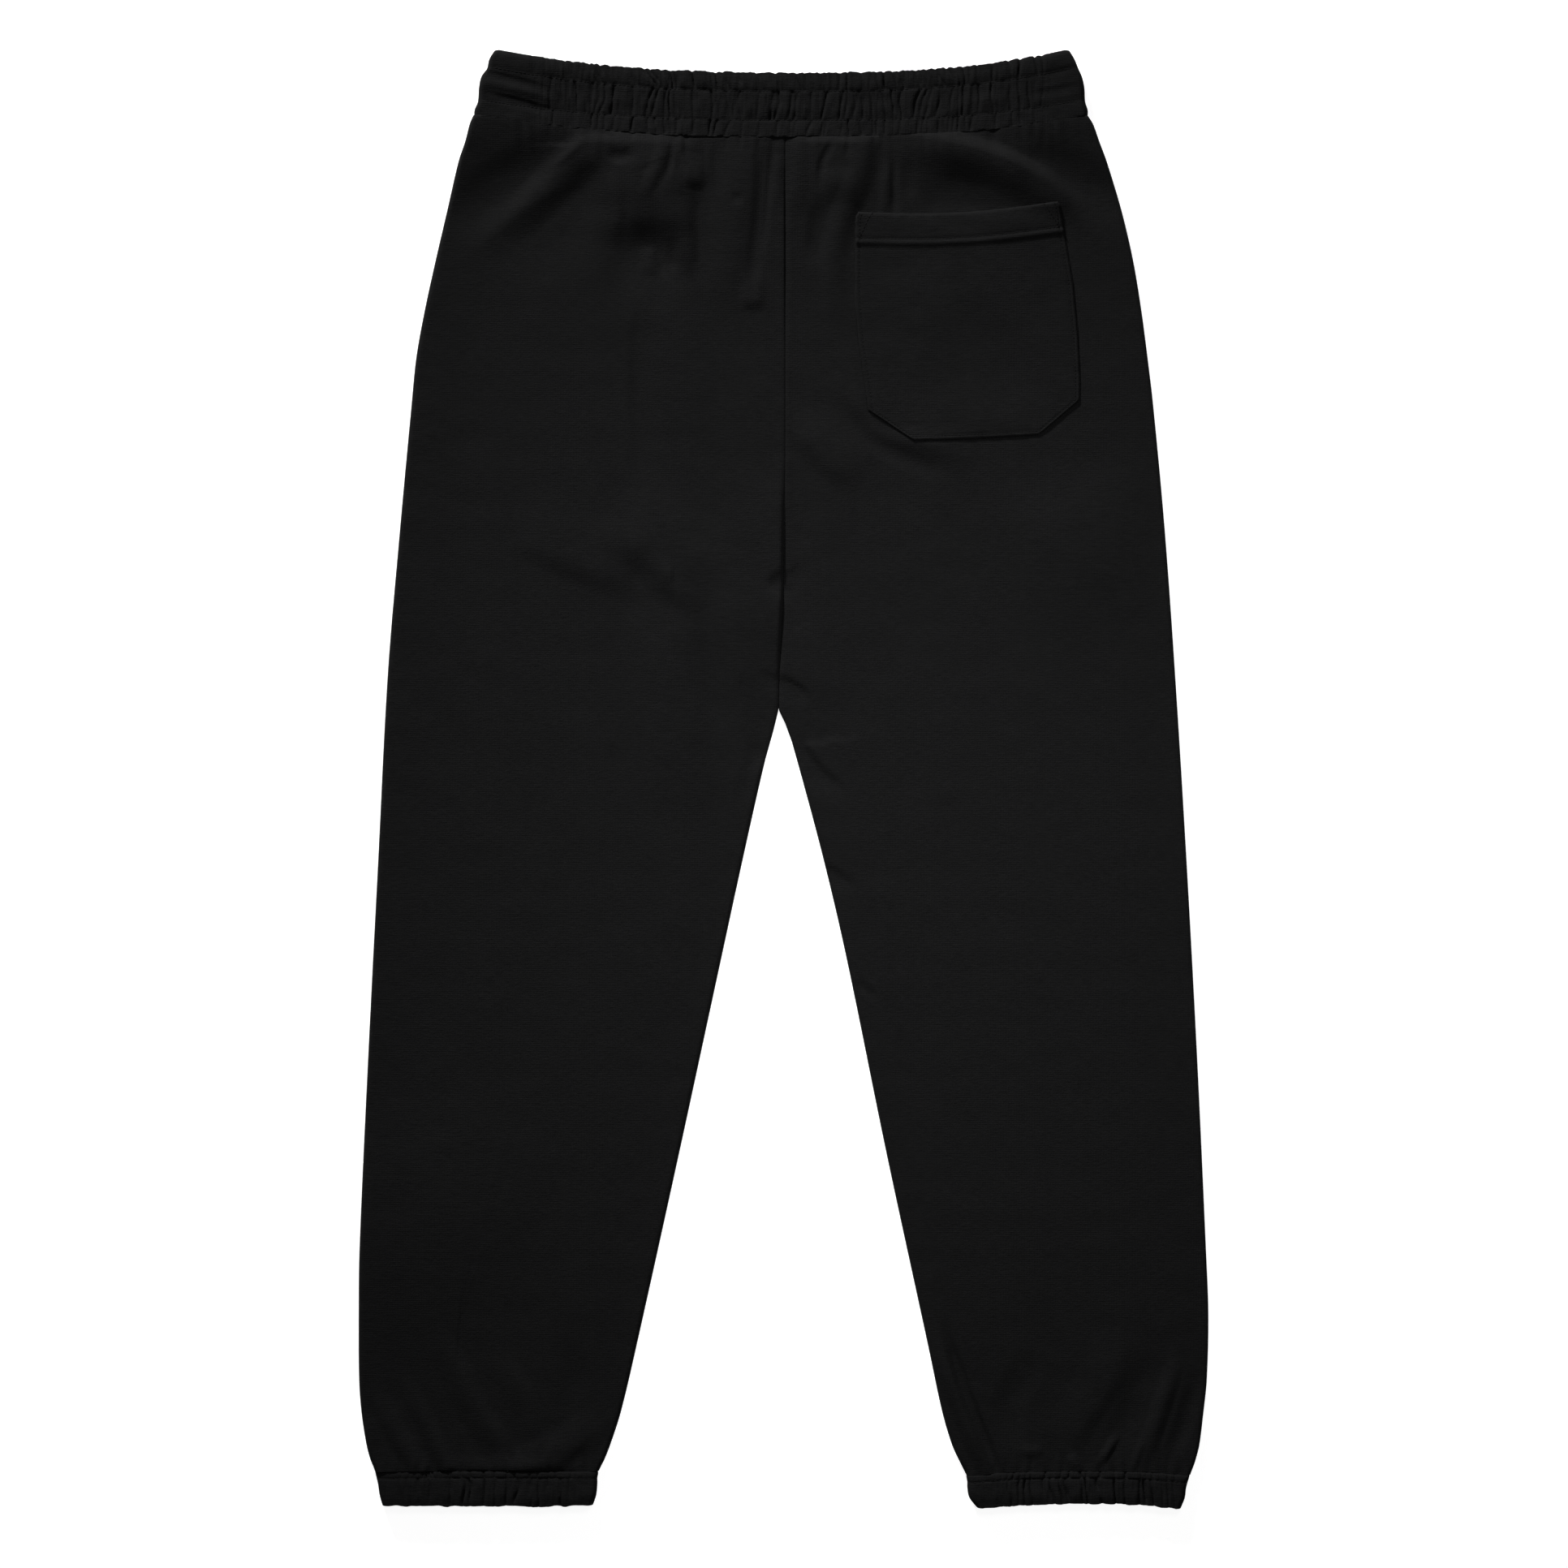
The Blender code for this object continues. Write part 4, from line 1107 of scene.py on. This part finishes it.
@dataclass
class LegPanel:
    """One leg panel, a wall whose edges turn to meet the panel under or over it."""

    side: Side
    layer: Layer
    drape: Drape
    wall: float = 2.2
    edge_middle: float = 3.7
    edge_round: float = 3.6
    inner_round: float = 1.2
    gap: float = 0.04
    tuck_up: float = 0.6
    coarse: int = 4
    last_row: float = 1013.42

    @property
    def name(self) -> str:
        """The panel's node, which is also the piece's name with "_cloth" after it."""
        return f"{self.layer.value}_panel_{self.side.word}"

    def rows(self) -> np.ndarray:
        """Row places, closer together near the waist and the cuff."""
        stretches = PANEL_ROWS[self.layer]
        ends = [start for start, _ in stretches[1:]] + [self.last_row]
        parts = [np.linspace(start, end, count, endpoint=False)
                 for (start, count), end in zip(stretches, ends)]
        return np.concatenate([*parts, [self.last_row]])

    def section(self, rows: np.ndarray, step: int, inside: bool) -> np.ndarray:
        """Points of the outer or the inner side, for every row.

        Args:
            rows: row places, named by the middle of the garment.
            step: 1 for every point across, or n for every n-th.
            inside: True for the side that faces the other cloth.

        Returns:
            Rows by columns by 3 coordinates, in metres.
        """
        drape, front = self.drape, self.layer is Layer.FRONT
        turn_points, flat_points = PANEL_COLUMNS[self.layer]
        sign = -1.0 if front else 1.0
        toward = -self.side.value
        middle_down = rows[:, None]
        beyond = np.full_like(middle_down, self.side.value * BEYOND)
        x_out = drape.outer_edge(self.side, drape.row_down(beyond, middle_down))
        x_in = drape.inner_edge(self.side, middle_down)
        x_in = drape.inner_edge(self.side, drape.row_down(x_in, middle_down))
        open_leg = smooth_step(*drape.leg_opens, middle_down)
        seam_z = self.edge_middle + sign * self.gap / 2

        def surface(x: np.ndarray) -> np.ndarray:
            """Height of this side at x."""
            if front:
                z = np.zeros_like(x)
            else:
                z = drape.height(self.side, x, drape.row_down(x, middle_down))
            return z - sign * self.wall if inside else z

        def turned(edge: np.ndarray, inward: int, flat_z: np.ndarray,
                   turn: np.ndarray) -> tuple[np.ndarray, np.ndarray]:
            """(x, z) round an edge, between its seam and the flat part."""
            reach = self.inner_round if inside else self.edge_round
            start = self.wall if inside else 0.0
            x = edge + inward * (start + reach * (1 - np.cos(turn)))
            return x, seam_z + (flat_z - seam_z) * np.sin(turn)

        turn = np.linspace(0.0, math.pi / 2, turn_points, endpoint=False)[None, :]
        flat = np.linspace(0.0, 1.0, flat_points + 1)[None, :]
        flat_start = x_out + toward * self.edge_round
        flat_end = x_in - toward * self.edge_round
        flat_x = flat_start + (flat_end - flat_start) * flat
        flat_z = surface(flat_x)
        outer_x, outer_z = turned(x_out, toward, flat_z[:, :1], turn)
        open_x, open_z = turned(x_in, -toward, flat_z[:, -1:], turn[:, ::-1])

        # where the legs haven't parted, the panel runs flat to the centre seam
        share = (np.arange(1, turn_points + 1) / turn_points)[None, :]
        butted_x = flat_end + (x_in - flat_end) * share
        butted_z = surface(butted_x)
        if not inside and front:
            last_third = np.clip(share * 3 - 2, 0.0, 1.0)
            butted_z = butted_z + self.tuck_up * last_third
        last_x = butted_x + (open_x - butted_x) * open_leg
        last_z = butted_z + (open_z - butted_z) * open_leg
        x = np.concatenate([outer_x, flat_x, last_x], axis=1)
        z = np.concatenate([outer_z, flat_z, last_z], axis=1)
        return to_points(x, drape.row_down(x, middle_down), z)[:, ::step]

    def build(self, material: bpy.types.Material) -> bpy.types.Object:
        """Makes the panel's closed wall."""
        rows = self.rows()
        outer = self.section(rows, 1, False)
        inner = self.section(rows[::self.coarse], self.coarse, True)
        name = f"{self.name}_cloth"
        return new_piece(name, wall_mesh(name, outer, inner), material)


# ---- pocket --------------------------------------------------------------------------------
@dataclass
class BackPocket:
    """The patch pocket, made from the panel's own heights, moved out."""

    drape: Drape
    lift: float = 0.2
    puff: float = 0.7
    tall: float = 164.0
    columns: int = 160
    rows: int = 176
    coarse: int = 4
    rim_round: float = 0.9
    rim_least: float = 0.15
    thick_share: float = 0.85
    stitches: Welt = Welt(3.2, -0.35, 0.8)
    edge_ridge: Welt = Welt(1.6, 0.12, 1.0)
    hem: Welt = Welt(18.0, -0.4, 0.9)
    hem_ridge: Welt = Welt(20.9, 0.65, 1.6)
    puckers: Lumps = Lumps(0.2, 4.5, 4.5, 21)
    puckers_reach: float = 5.0
    uneven: tuple[Lumps, ...] = (Lumps(0.5, 34.0, 46.0, 22), Lumps(0.2, 12.0, 12.0, 23))
    uneven_from: float = 14.0
    thread_lift: float = 0.1
    thread_top: float = 0.012
    foot_top: float = 0.02
    hem_ends: tuple[float, float] = (0.03, 0.97)
    tack_top: float = 0.006
    tack_foot: float = 0.02
    tack_reach: float = 0.055
    place_of_row: list[float] = field(init=False)

    def __post_init__(self) -> None:
        """Spaces the table's rows by their distance down the middle."""
        middles = [(row.left_down + row.right_down) / 2 for row in POCKET_ROWS]
        self.place_of_row = [(m - middles[0]) / (middles[-1] - middles[0]) for m in middles]

    def read(self, name: str, t: np.ndarray) -> np.ndarray:
        """One column of the table, read at fractions t down the pocket."""
        return np.interp(t, self.place_of_row, [getattr(row, name) for row in POCKET_ROWS])

    def width(self, t: np.ndarray) -> np.ndarray:
        """Distance between the side edges at fractions t down."""
        return self.read("right", t) - self.read("left", t)

    def flat_place(self, s: np.ndarray, t: np.ndarray) -> tuple[np.ndarray, np.ndarray]:
        """(x, down) at fractions s across and t down."""
        slope = self.read("right_down", t) - self.read("left_down", t)
        down = self.read("left_down", t) + slope * s + self.read("sag", t) * np.sin(math.pi * s)
        return self.read("left", t) + self.width(t) * s, down

    def under(self, s: np.ndarray, t: np.ndarray) -> np.ndarray:
        """Height of the pocket's under side."""
        across = np.clip(np.sin(math.pi * s), 0.0, 1.0)
        puff = self.puff * np.sqrt(across) * np.sin(math.pi * t)
        return self.drape.height(Side.RIGHT, *self.flat_place(s, t)) + self.lift + puff

    def height(self, s: np.ndarray, t: np.ndarray) -> np.ndarray:
        """Height of the pocket's outer side at fractions s across and t down."""
        place = self.flat_place(s, t)
        thick = read_curve(list(zip(self.place_of_row, [row.thick for row in POCKET_ROWS])), t)
        from_top = t * self.tall
        to_side = np.minimum(s, 1.0 - s) * self.width(t)
        edge = np.minimum(to_side, np.minimum(t, 1.0 - t) * self.tall)
        in_rim = np.clip(edge / self.rim_round, 0.0, 1.0)
        rim = np.sqrt(np.clip(1.0 - (1.0 - in_rim) ** 2, 0.0, 1.0))
        z = self.under(s, t) + self.rim_least + (self.thick_share * thick - self.rim_least) * rim
        below_hem = smooth_step(-1.0, 1.0, from_top - self.hem.away)
        z = z + below_hem * self.stitches.at(edge) + self.edge_ridge.at(edge)
        z = z + self.hem.at(from_top) + self.hem_ridge.at(from_top)
        z = z + self.puckers.at(*place) * np.exp(-edge / self.puckers_reach)
        soft = sum(lumps.at(*place) for lumps in self.uneven)
        return z + soft * np.clip(edge / self.uneven_from, 0.0, 1.0)

    def point(self, s: np.ndarray, t: np.ndarray, lift: float = 0.0) -> np.ndarray:
        """Points on the pocket's outer side, in metres, raised by lift."""
        return to_points(*self.flat_place(s, t), self.height(s, t) + lift)

    def foot(self) -> np.ndarray:
        """Path, in metres, where the pocket's sewn edge meets the seat; the painted shadow line of
        dark thread beads runs along it.
        """
        t, s = np.linspace(self.foot_top, 1.0, 400), np.linspace(0.0, 1.0, 200)
        across = np.concatenate([0 * t, s, 0 * t + 1])
        x, down = self.flat_place(across, np.concatenate([t, 0 * s + 1, t[::-1]]))
        return to_points(x, down, self.drape.height(Side.RIGHT, x, down) + self.lift)

    def topstitching(self) -> list[np.ndarray]:
        """Paths of thread: round the edge, along the hem and across the hem's two corners."""
        inset, hem = self.stitches.away, self.hem.away / self.tall
        down = np.linspace(self.thread_top, 1.0 - inset / self.tall, 400)
        edge = inset / self.width(down)
        left = self.point(edge, down, self.thread_lift)
        right = self.point(1.0 - edge, down, self.thread_lift)
        s = np.linspace(edge[-1], 1.0 - edge[-1], 200)
        bottom = self.point(s, np.full_like(s, down[-1]), self.thread_lift)
        paths = [np.concatenate([left, bottom[1:-1], right[::-1]])]
        s = np.linspace(*self.hem_ends, 300)
        paths.append(self.point(s, np.full_like(s, hem), self.thread_lift))
        t = np.linspace(self.tack_top, hem, 30)
        tack = self.tack_foot + self.tack_reach * (1.0 - t / t[-1])
        paths.extend(self.point(s, t, self.thread_lift) for s in (tack, 1.0 - tack))
        return paths

    def build(self, material: bpy.types.Material) -> bpy.types.Object:
        """Makes the pocket's closed wall."""
        s = np.linspace(0.0, 1.0, self.columns + 1)[None, :]
        t = np.linspace(0.0, 1.0, self.rows + 1)[:, None]
        s, t = np.broadcast_arrays(s, t)
        outer = self.point(s, t)
        s, t = s[::self.coarse, ::self.coarse], t[::self.coarse, ::self.coarse]
        inner = to_points(*self.flat_place(s, t), self.under(s, t))
        name = "back_pocket_cloth"
        return new_piece(name, wall_mesh(name, outer, inner), material)


# ---- stitching -----------------------------------------------------------------------------
class Stitching:
    """Runs of lockstitch along paths on the cloth, made by one Geometry Nodes tree."""

    def __init__(self, material: bpy.types.Material) -> None:
        """Builds the tree.

        Args:
            material: the thread's material.
        """
        self.material = material
        self.tree = self._make_tree()

    def _make_tree(self) -> bpy.types.NodeTree:
        """Tree that lays stitches end to end along the edges of a mesh path."""
        tree = bpy.data.node_groups.new("stitch_run", "GeometryNodeTree")
        add_sockets(tree, "INPUT", {
            "Geometry": "Geometry", "Pitch": "Float", "Stitch Length": "Float",
            "Thread Radius": "Float", "Thread": "Material"})
        add_sockets(tree, "OUTPUT", {"Geometry": "Geometry"})
        given = tree.nodes.new("NodeGroupInput").outputs
        curve = add_node(tree, "GeometryNodeMeshToCurve", {"Mesh": given["Geometry"]})
        spaced = add_node(tree, "GeometryNodeResampleCurve", {
            "Curve": curve.outputs["Curve"], "Length": given["Pitch"]}, mode="LENGTH")
        bead = add_node(tree, "GeometryNodeMeshUVSphere", {
            "Segments": 6, "Rings": 6, "Radius": 1.0})
        half = add_node(tree, "ShaderNodeMath", {0: given["Stitch Length"], 1: 0.5},
                        operation="MULTIPLY")
        size = add_node(tree, "ShaderNodeCombineXYZ", {
            "X": given["Thread Radius"], "Y": given["Thread Radius"], "Z": half.outputs["Value"]})
        tangent = add_node(tree, "GeometryNodeInputTangent")
        turn = add_node(tree, "FunctionNodeAlignRotationToVector", {
            "Vector": tangent.outputs["Tangent"]}, axis="Z")
        laid = add_node(tree, "GeometryNodeInstanceOnPoints", {
            "Points": spaced.outputs["Curve"], "Instance": bead.outputs["Mesh"],
            "Rotation": turn.outputs["Rotation"], "Scale": size.outputs["Vector"]})
        real = add_node(tree, "GeometryNodeRealizeInstances", {
            "Geometry": laid.outputs["Instances"]})
        smooth = add_node(tree, "GeometryNodeSetShadeSmooth", {
            "Geometry": real.outputs["Geometry"]})
        dress = add_node(tree, "GeometryNodeSetMaterial", {
            "Geometry": smooth.outputs["Geometry"], "Material": given["Thread"]})
        add_node(tree, "NodeGroupOutput", {"Geometry": dress.outputs["Geometry"]})
        return tree

    def run(self, name: str, paths: Sequence[np.ndarray], pitch: float = 2.9,
            radius: float = 0.22) -> bpy.types.Object:
        """Sews along paths.

        Args:
            name: the piece's name.
            paths: lines of points, in metres.
            pitch: distance between stitches, in millimetres.
            radius: the thread's radius, in millimetres.

        Returns:
            A plain mesh object with every stitch in it.
        """
        points: list[list[float]] = []
        edges: list[tuple[int, int]] = []
        for path in paths:
            start = len(points)
            points.extend(path.tolist())
            edges.extend((start + k, start + k + 1) for k in range(len(path) - 1))
        guide = bpy.data.meshes.new(name)
        guide.from_pydata(points, edges, [])
        piece = new_piece(name, guide, self.material)
        modifier = piece.modifiers.new("stitches", "NODES")
        modifier.node_group = self.tree
        values = {"Pitch": pitch * MM, "Stitch Length": STITCH_SHARE * pitch * MM,
                  "Thread Radius": radius * MM, "Thread": self.material}
        for item in self.tree.interface.items_tree:
            if item.in_out == "INPUT" and item.name in values:
                modifier[item.identifier] = values[item.name]
        bpy.context.view_layer.update()
        graph = bpy.context.evaluated_depsgraph_get()
        mesh = bpy.data.meshes.new_from_object(piece.evaluated_get(graph))
        piece.modifiers.remove(modifier)
        piece.data = mesh
        mesh.name = name
        bpy.data.meshes.remove(guide)
        return piece


# ---- studio --------------------------------------------------------------------------------
@dataclass(frozen=True)
class Lamp:
    """A round soft light, in metres: where it hangs, what it faces, and how it spreads."""

    name: str
    place: tuple[float, float, float]
    aim: tuple[float, float, float]
    size: float
    watts: float
    spread_degrees: float

    def hang(self) -> None:
        """Makes the light."""
        light = bpy.data.lights.new(self.name, "AREA")
        light.shape = "DISK"
        light.size = self.size
        light.energy = self.watts
        light.spread = math.radians(self.spread_degrees)
        thing = bpy.data.objects.new(self.name, light)
        thing.location = self.place
        facing = Vector(self.aim) - Vector(self.place)
        thing.rotation_euler = facing.to_track_quat("-Z", "Y").to_euler()
        bpy.context.scene.collection.objects.link(thing)


@dataclass
class Studio:
    """Pale floor, soft light and a camera straight above, in metres but for the lens."""

    view_width: float = 1.1206
    centre: tuple[float, float] = (0.0003, -0.0032)
    plane_height: float = 0.0037
    lens: float = 85.0
    sensor: float = 36.0
    floor_size: float = 8.0
    floor_sink: float = 0.0003
    floor_grey: float = 0.4
    floor_glow: float = 0.92
    backdrop: float = 0.86
    ambient: float = 0.068
    lamps: tuple[Lamp, ...] = (
        Lamp("key", (-1.06, 2.99, 1.17), (0.29, -0.56, 0.0), 0.4, 19.1, 72.0),
        Lamp("fill", (0.29, 0.39, 1.22), (0.05, -0.07, 0.0), 0.5, 0.78, 53.6),
    )

    def floor(self) -> None:
        """A matt floor that glows, lit only by itself, so that shadows on it stay faint."""
        mesh = bpy.data.meshes.new("studio_floor")
        half = self.floor_size / 2
        corners = [(-half, -half, 0), (half, -half, 0), (half, half, 0), (-half, half, 0)]
        mesh.from_pydata(corners, [], [(0, 1, 2, 3)])
        material, _, shader = new_material("white_floor")
        feed(shader, {"Base Color": (*[self.floor_grey] * 3, 1.0), "Roughness": 0.9,
                      "Specular IOR Level": 0.1, "Emission Color": WHITE,
                      "Emission Strength": self.floor_glow})
        floor = new_piece("studio_floor", mesh, material)
        floor.location.z = -self.floor_sink
        lit_by_floor = bpy.data.collections.new("lit_by_floor")
        lit_by_floor.objects.link(floor)
        floor.light_linking.receiver_collection = lit_by_floor

    def world(self) -> None:
        """Even light from all round, in front of a paler backdrop."""
        world = bpy.data.worlds.new("studio")
        world.use_nodes = True
        tree = world.node_tree
        light = tree.nodes["Background"]
        feed(light, {"Color": WHITE, "Strength": self.ambient})
        backdrop = add_node(tree, "ShaderNodeBackground", {
            "Color": WHITE, "Strength": self.backdrop})
        path = add_node(tree, "ShaderNodeLightPath")
        mix = add_node(tree, "ShaderNodeMixShader", {
            "Fac": path.outputs["Is Camera Ray"], 1: light.outputs["Background"],
            2: backdrop.outputs["Background"]})
        feed(tree.nodes["World Output"], {"Surface": mix.outputs["Shader"]})
        bpy.context.scene.world = world

    def camera(self) -> None:
        """A long lens straight above the garment's middle."""
        lens = bpy.data.cameras.new("camera")
        lens.lens = self.lens
        lens.sensor_width = self.sensor
        lens.sensor_fit = "HORIZONTAL"
        lens.dof.use_dof = False
        camera = bpy.data.objects.new("camera", lens)
        distance = self.view_width * self.lens / self.sensor
        camera.location = (*self.centre, self.plane_height + distance)
        bpy.context.scene.collection.objects.link(camera)
        bpy.context.scene.camera = camera

    def build(self) -> None:
        """Makes the floor, the lights, the world and the camera."""
        self.floor()
        for lamp in self.lamps:
            lamp.hang()
        self.world()
        self.camera()
        bpy.context.scene.view_settings.view_transform = "Standard"


# ---- the whole garment ---------------------------------------------------------------------
class Cut(NamedTuple):
    """The flat cut of a piece, in metres and square metres."""

    width: float
    length: float
    area: float


@dataclass
class Joggers:
    """The garment: its cloth pieces, then its stitching."""

    thread: ThreadFinish = ThreadFinish()
    fleece: KnitFinish = KnitFinish("black_fleece", (0.0090, 0.0090, 0.0092))
    casing: KnitFinish = KnitFinish("black_casing", (0.0083, 0.0083, 0.0085))

    def declare(self, piece: bpy.types.Object, node: str) -> None:
        """Ties a cloth piece to the frame and hides the frame's part that it replaces."""
        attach(piece, "root")
        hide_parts(node)
        LOG.info("%s: %d faces", piece.name, len(piece.data.polygons))

    def cuff(self, side: Side) -> GatheredBand:
        """One ankle's band."""
        rings, low, high, gather_seed, seed = CUFFS[side]
        return GatheredBand(
            f"cuff_{side.word}_cloth", rings, stitched=(0, 2), rows=CUFF_SEWN_ROWS,
            gathers=Gathers(low, high, count=21, seed=gather_seed), seed=seed, row_count=41)

    def build(self) -> None:
        """Makes every piece."""
        group = knit_group()
        fleece, casing = self.fleece.material(group), self.casing.material(group)
        stitching = Stitching(self.thread.material())
        waist = GatheredBand(
            "waistband_cloth", WAISTBAND_RINGS, stitched=(2, 5, 7), rows=WAIST_ROWS,
            gathers=Gathers(-186.0, 190.0, count=46, seed=11), seed=300, folds=BAND_FOLDS)
        cuffs = {side: self.cuff(side) for side in Side}
        self.declare(waist.build(casing), "waistband")
        for side, cuff in cuffs.items():
            drape = Drape(waist.gathers.valleys, cuff.gathers.valleys)
            for layer in Layer:
                panel = LegPanel(side, layer, drape)
                rest = [f"front_panel_{side.word}"] if layer is Layer.BACK else []
                self.declare(panel.build(fleece), panel.name)
            self.declare(cuff.build(casing), f"cuff_{side.word}")
        pocket = BackPocket(drape)
        self.declare(pocket.build(fleece), "back_pocket")
        self.sew(stitching, waist, cuffs, pocket)

    def sew(self, stitching: Stitching, waist: GatheredBand, cuffs: dict[Side, GatheredBand],
            pocket: BackPocket) -> None:
        """Lays every visible run of stitches, and a painted shadow line of dark thread beads round
        the pocket's foot.
        """
        across = np.linspace(-0.985, 0.985, 900)
        lines = [waist.line(across, ring, THREAD_LIFT) for ring in waist.stitched[:2]]
        self.finish_run(stitching.run("waistband_stitches", lines))
        for side, cuff in cuffs.items():
            line = cuff.line(across[::3], cuff.stitched[-1], THREAD_LIFT)
            self.finish_run(stitching.run(f"cuff_{side.word}_stitches", [line]))
        self.finish_run(stitching.run("pocket_stitches", pocket.topstitching(),
                                      pitch=2.6, radius=0.28))
        # painted shadow: almost touching beads of dark thread round the pocket's foot stand in for
        # the shade in the crease there
        self.finish_run(stitching.run("pocket_edge_painted_shadow", [pocket.foot()],
                                      pitch=1.1, radius=0.45))

    def finish_run(self, piece: bpy.types.Object) -> None:
        """Ties a run of stitches to the frame."""
        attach(piece, "root")
        LOG.info("%s: %d faces", piece.name, len(piece.data.polygons))


def main() -> None:
    """Loads the frame, dresses it and sets up the studio."""
    logging.basicConfig(level=logging.INFO, format="%(message)s")
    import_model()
    Studio().build()
    Joggers().build()


if __name__ == "__main__":
    main()
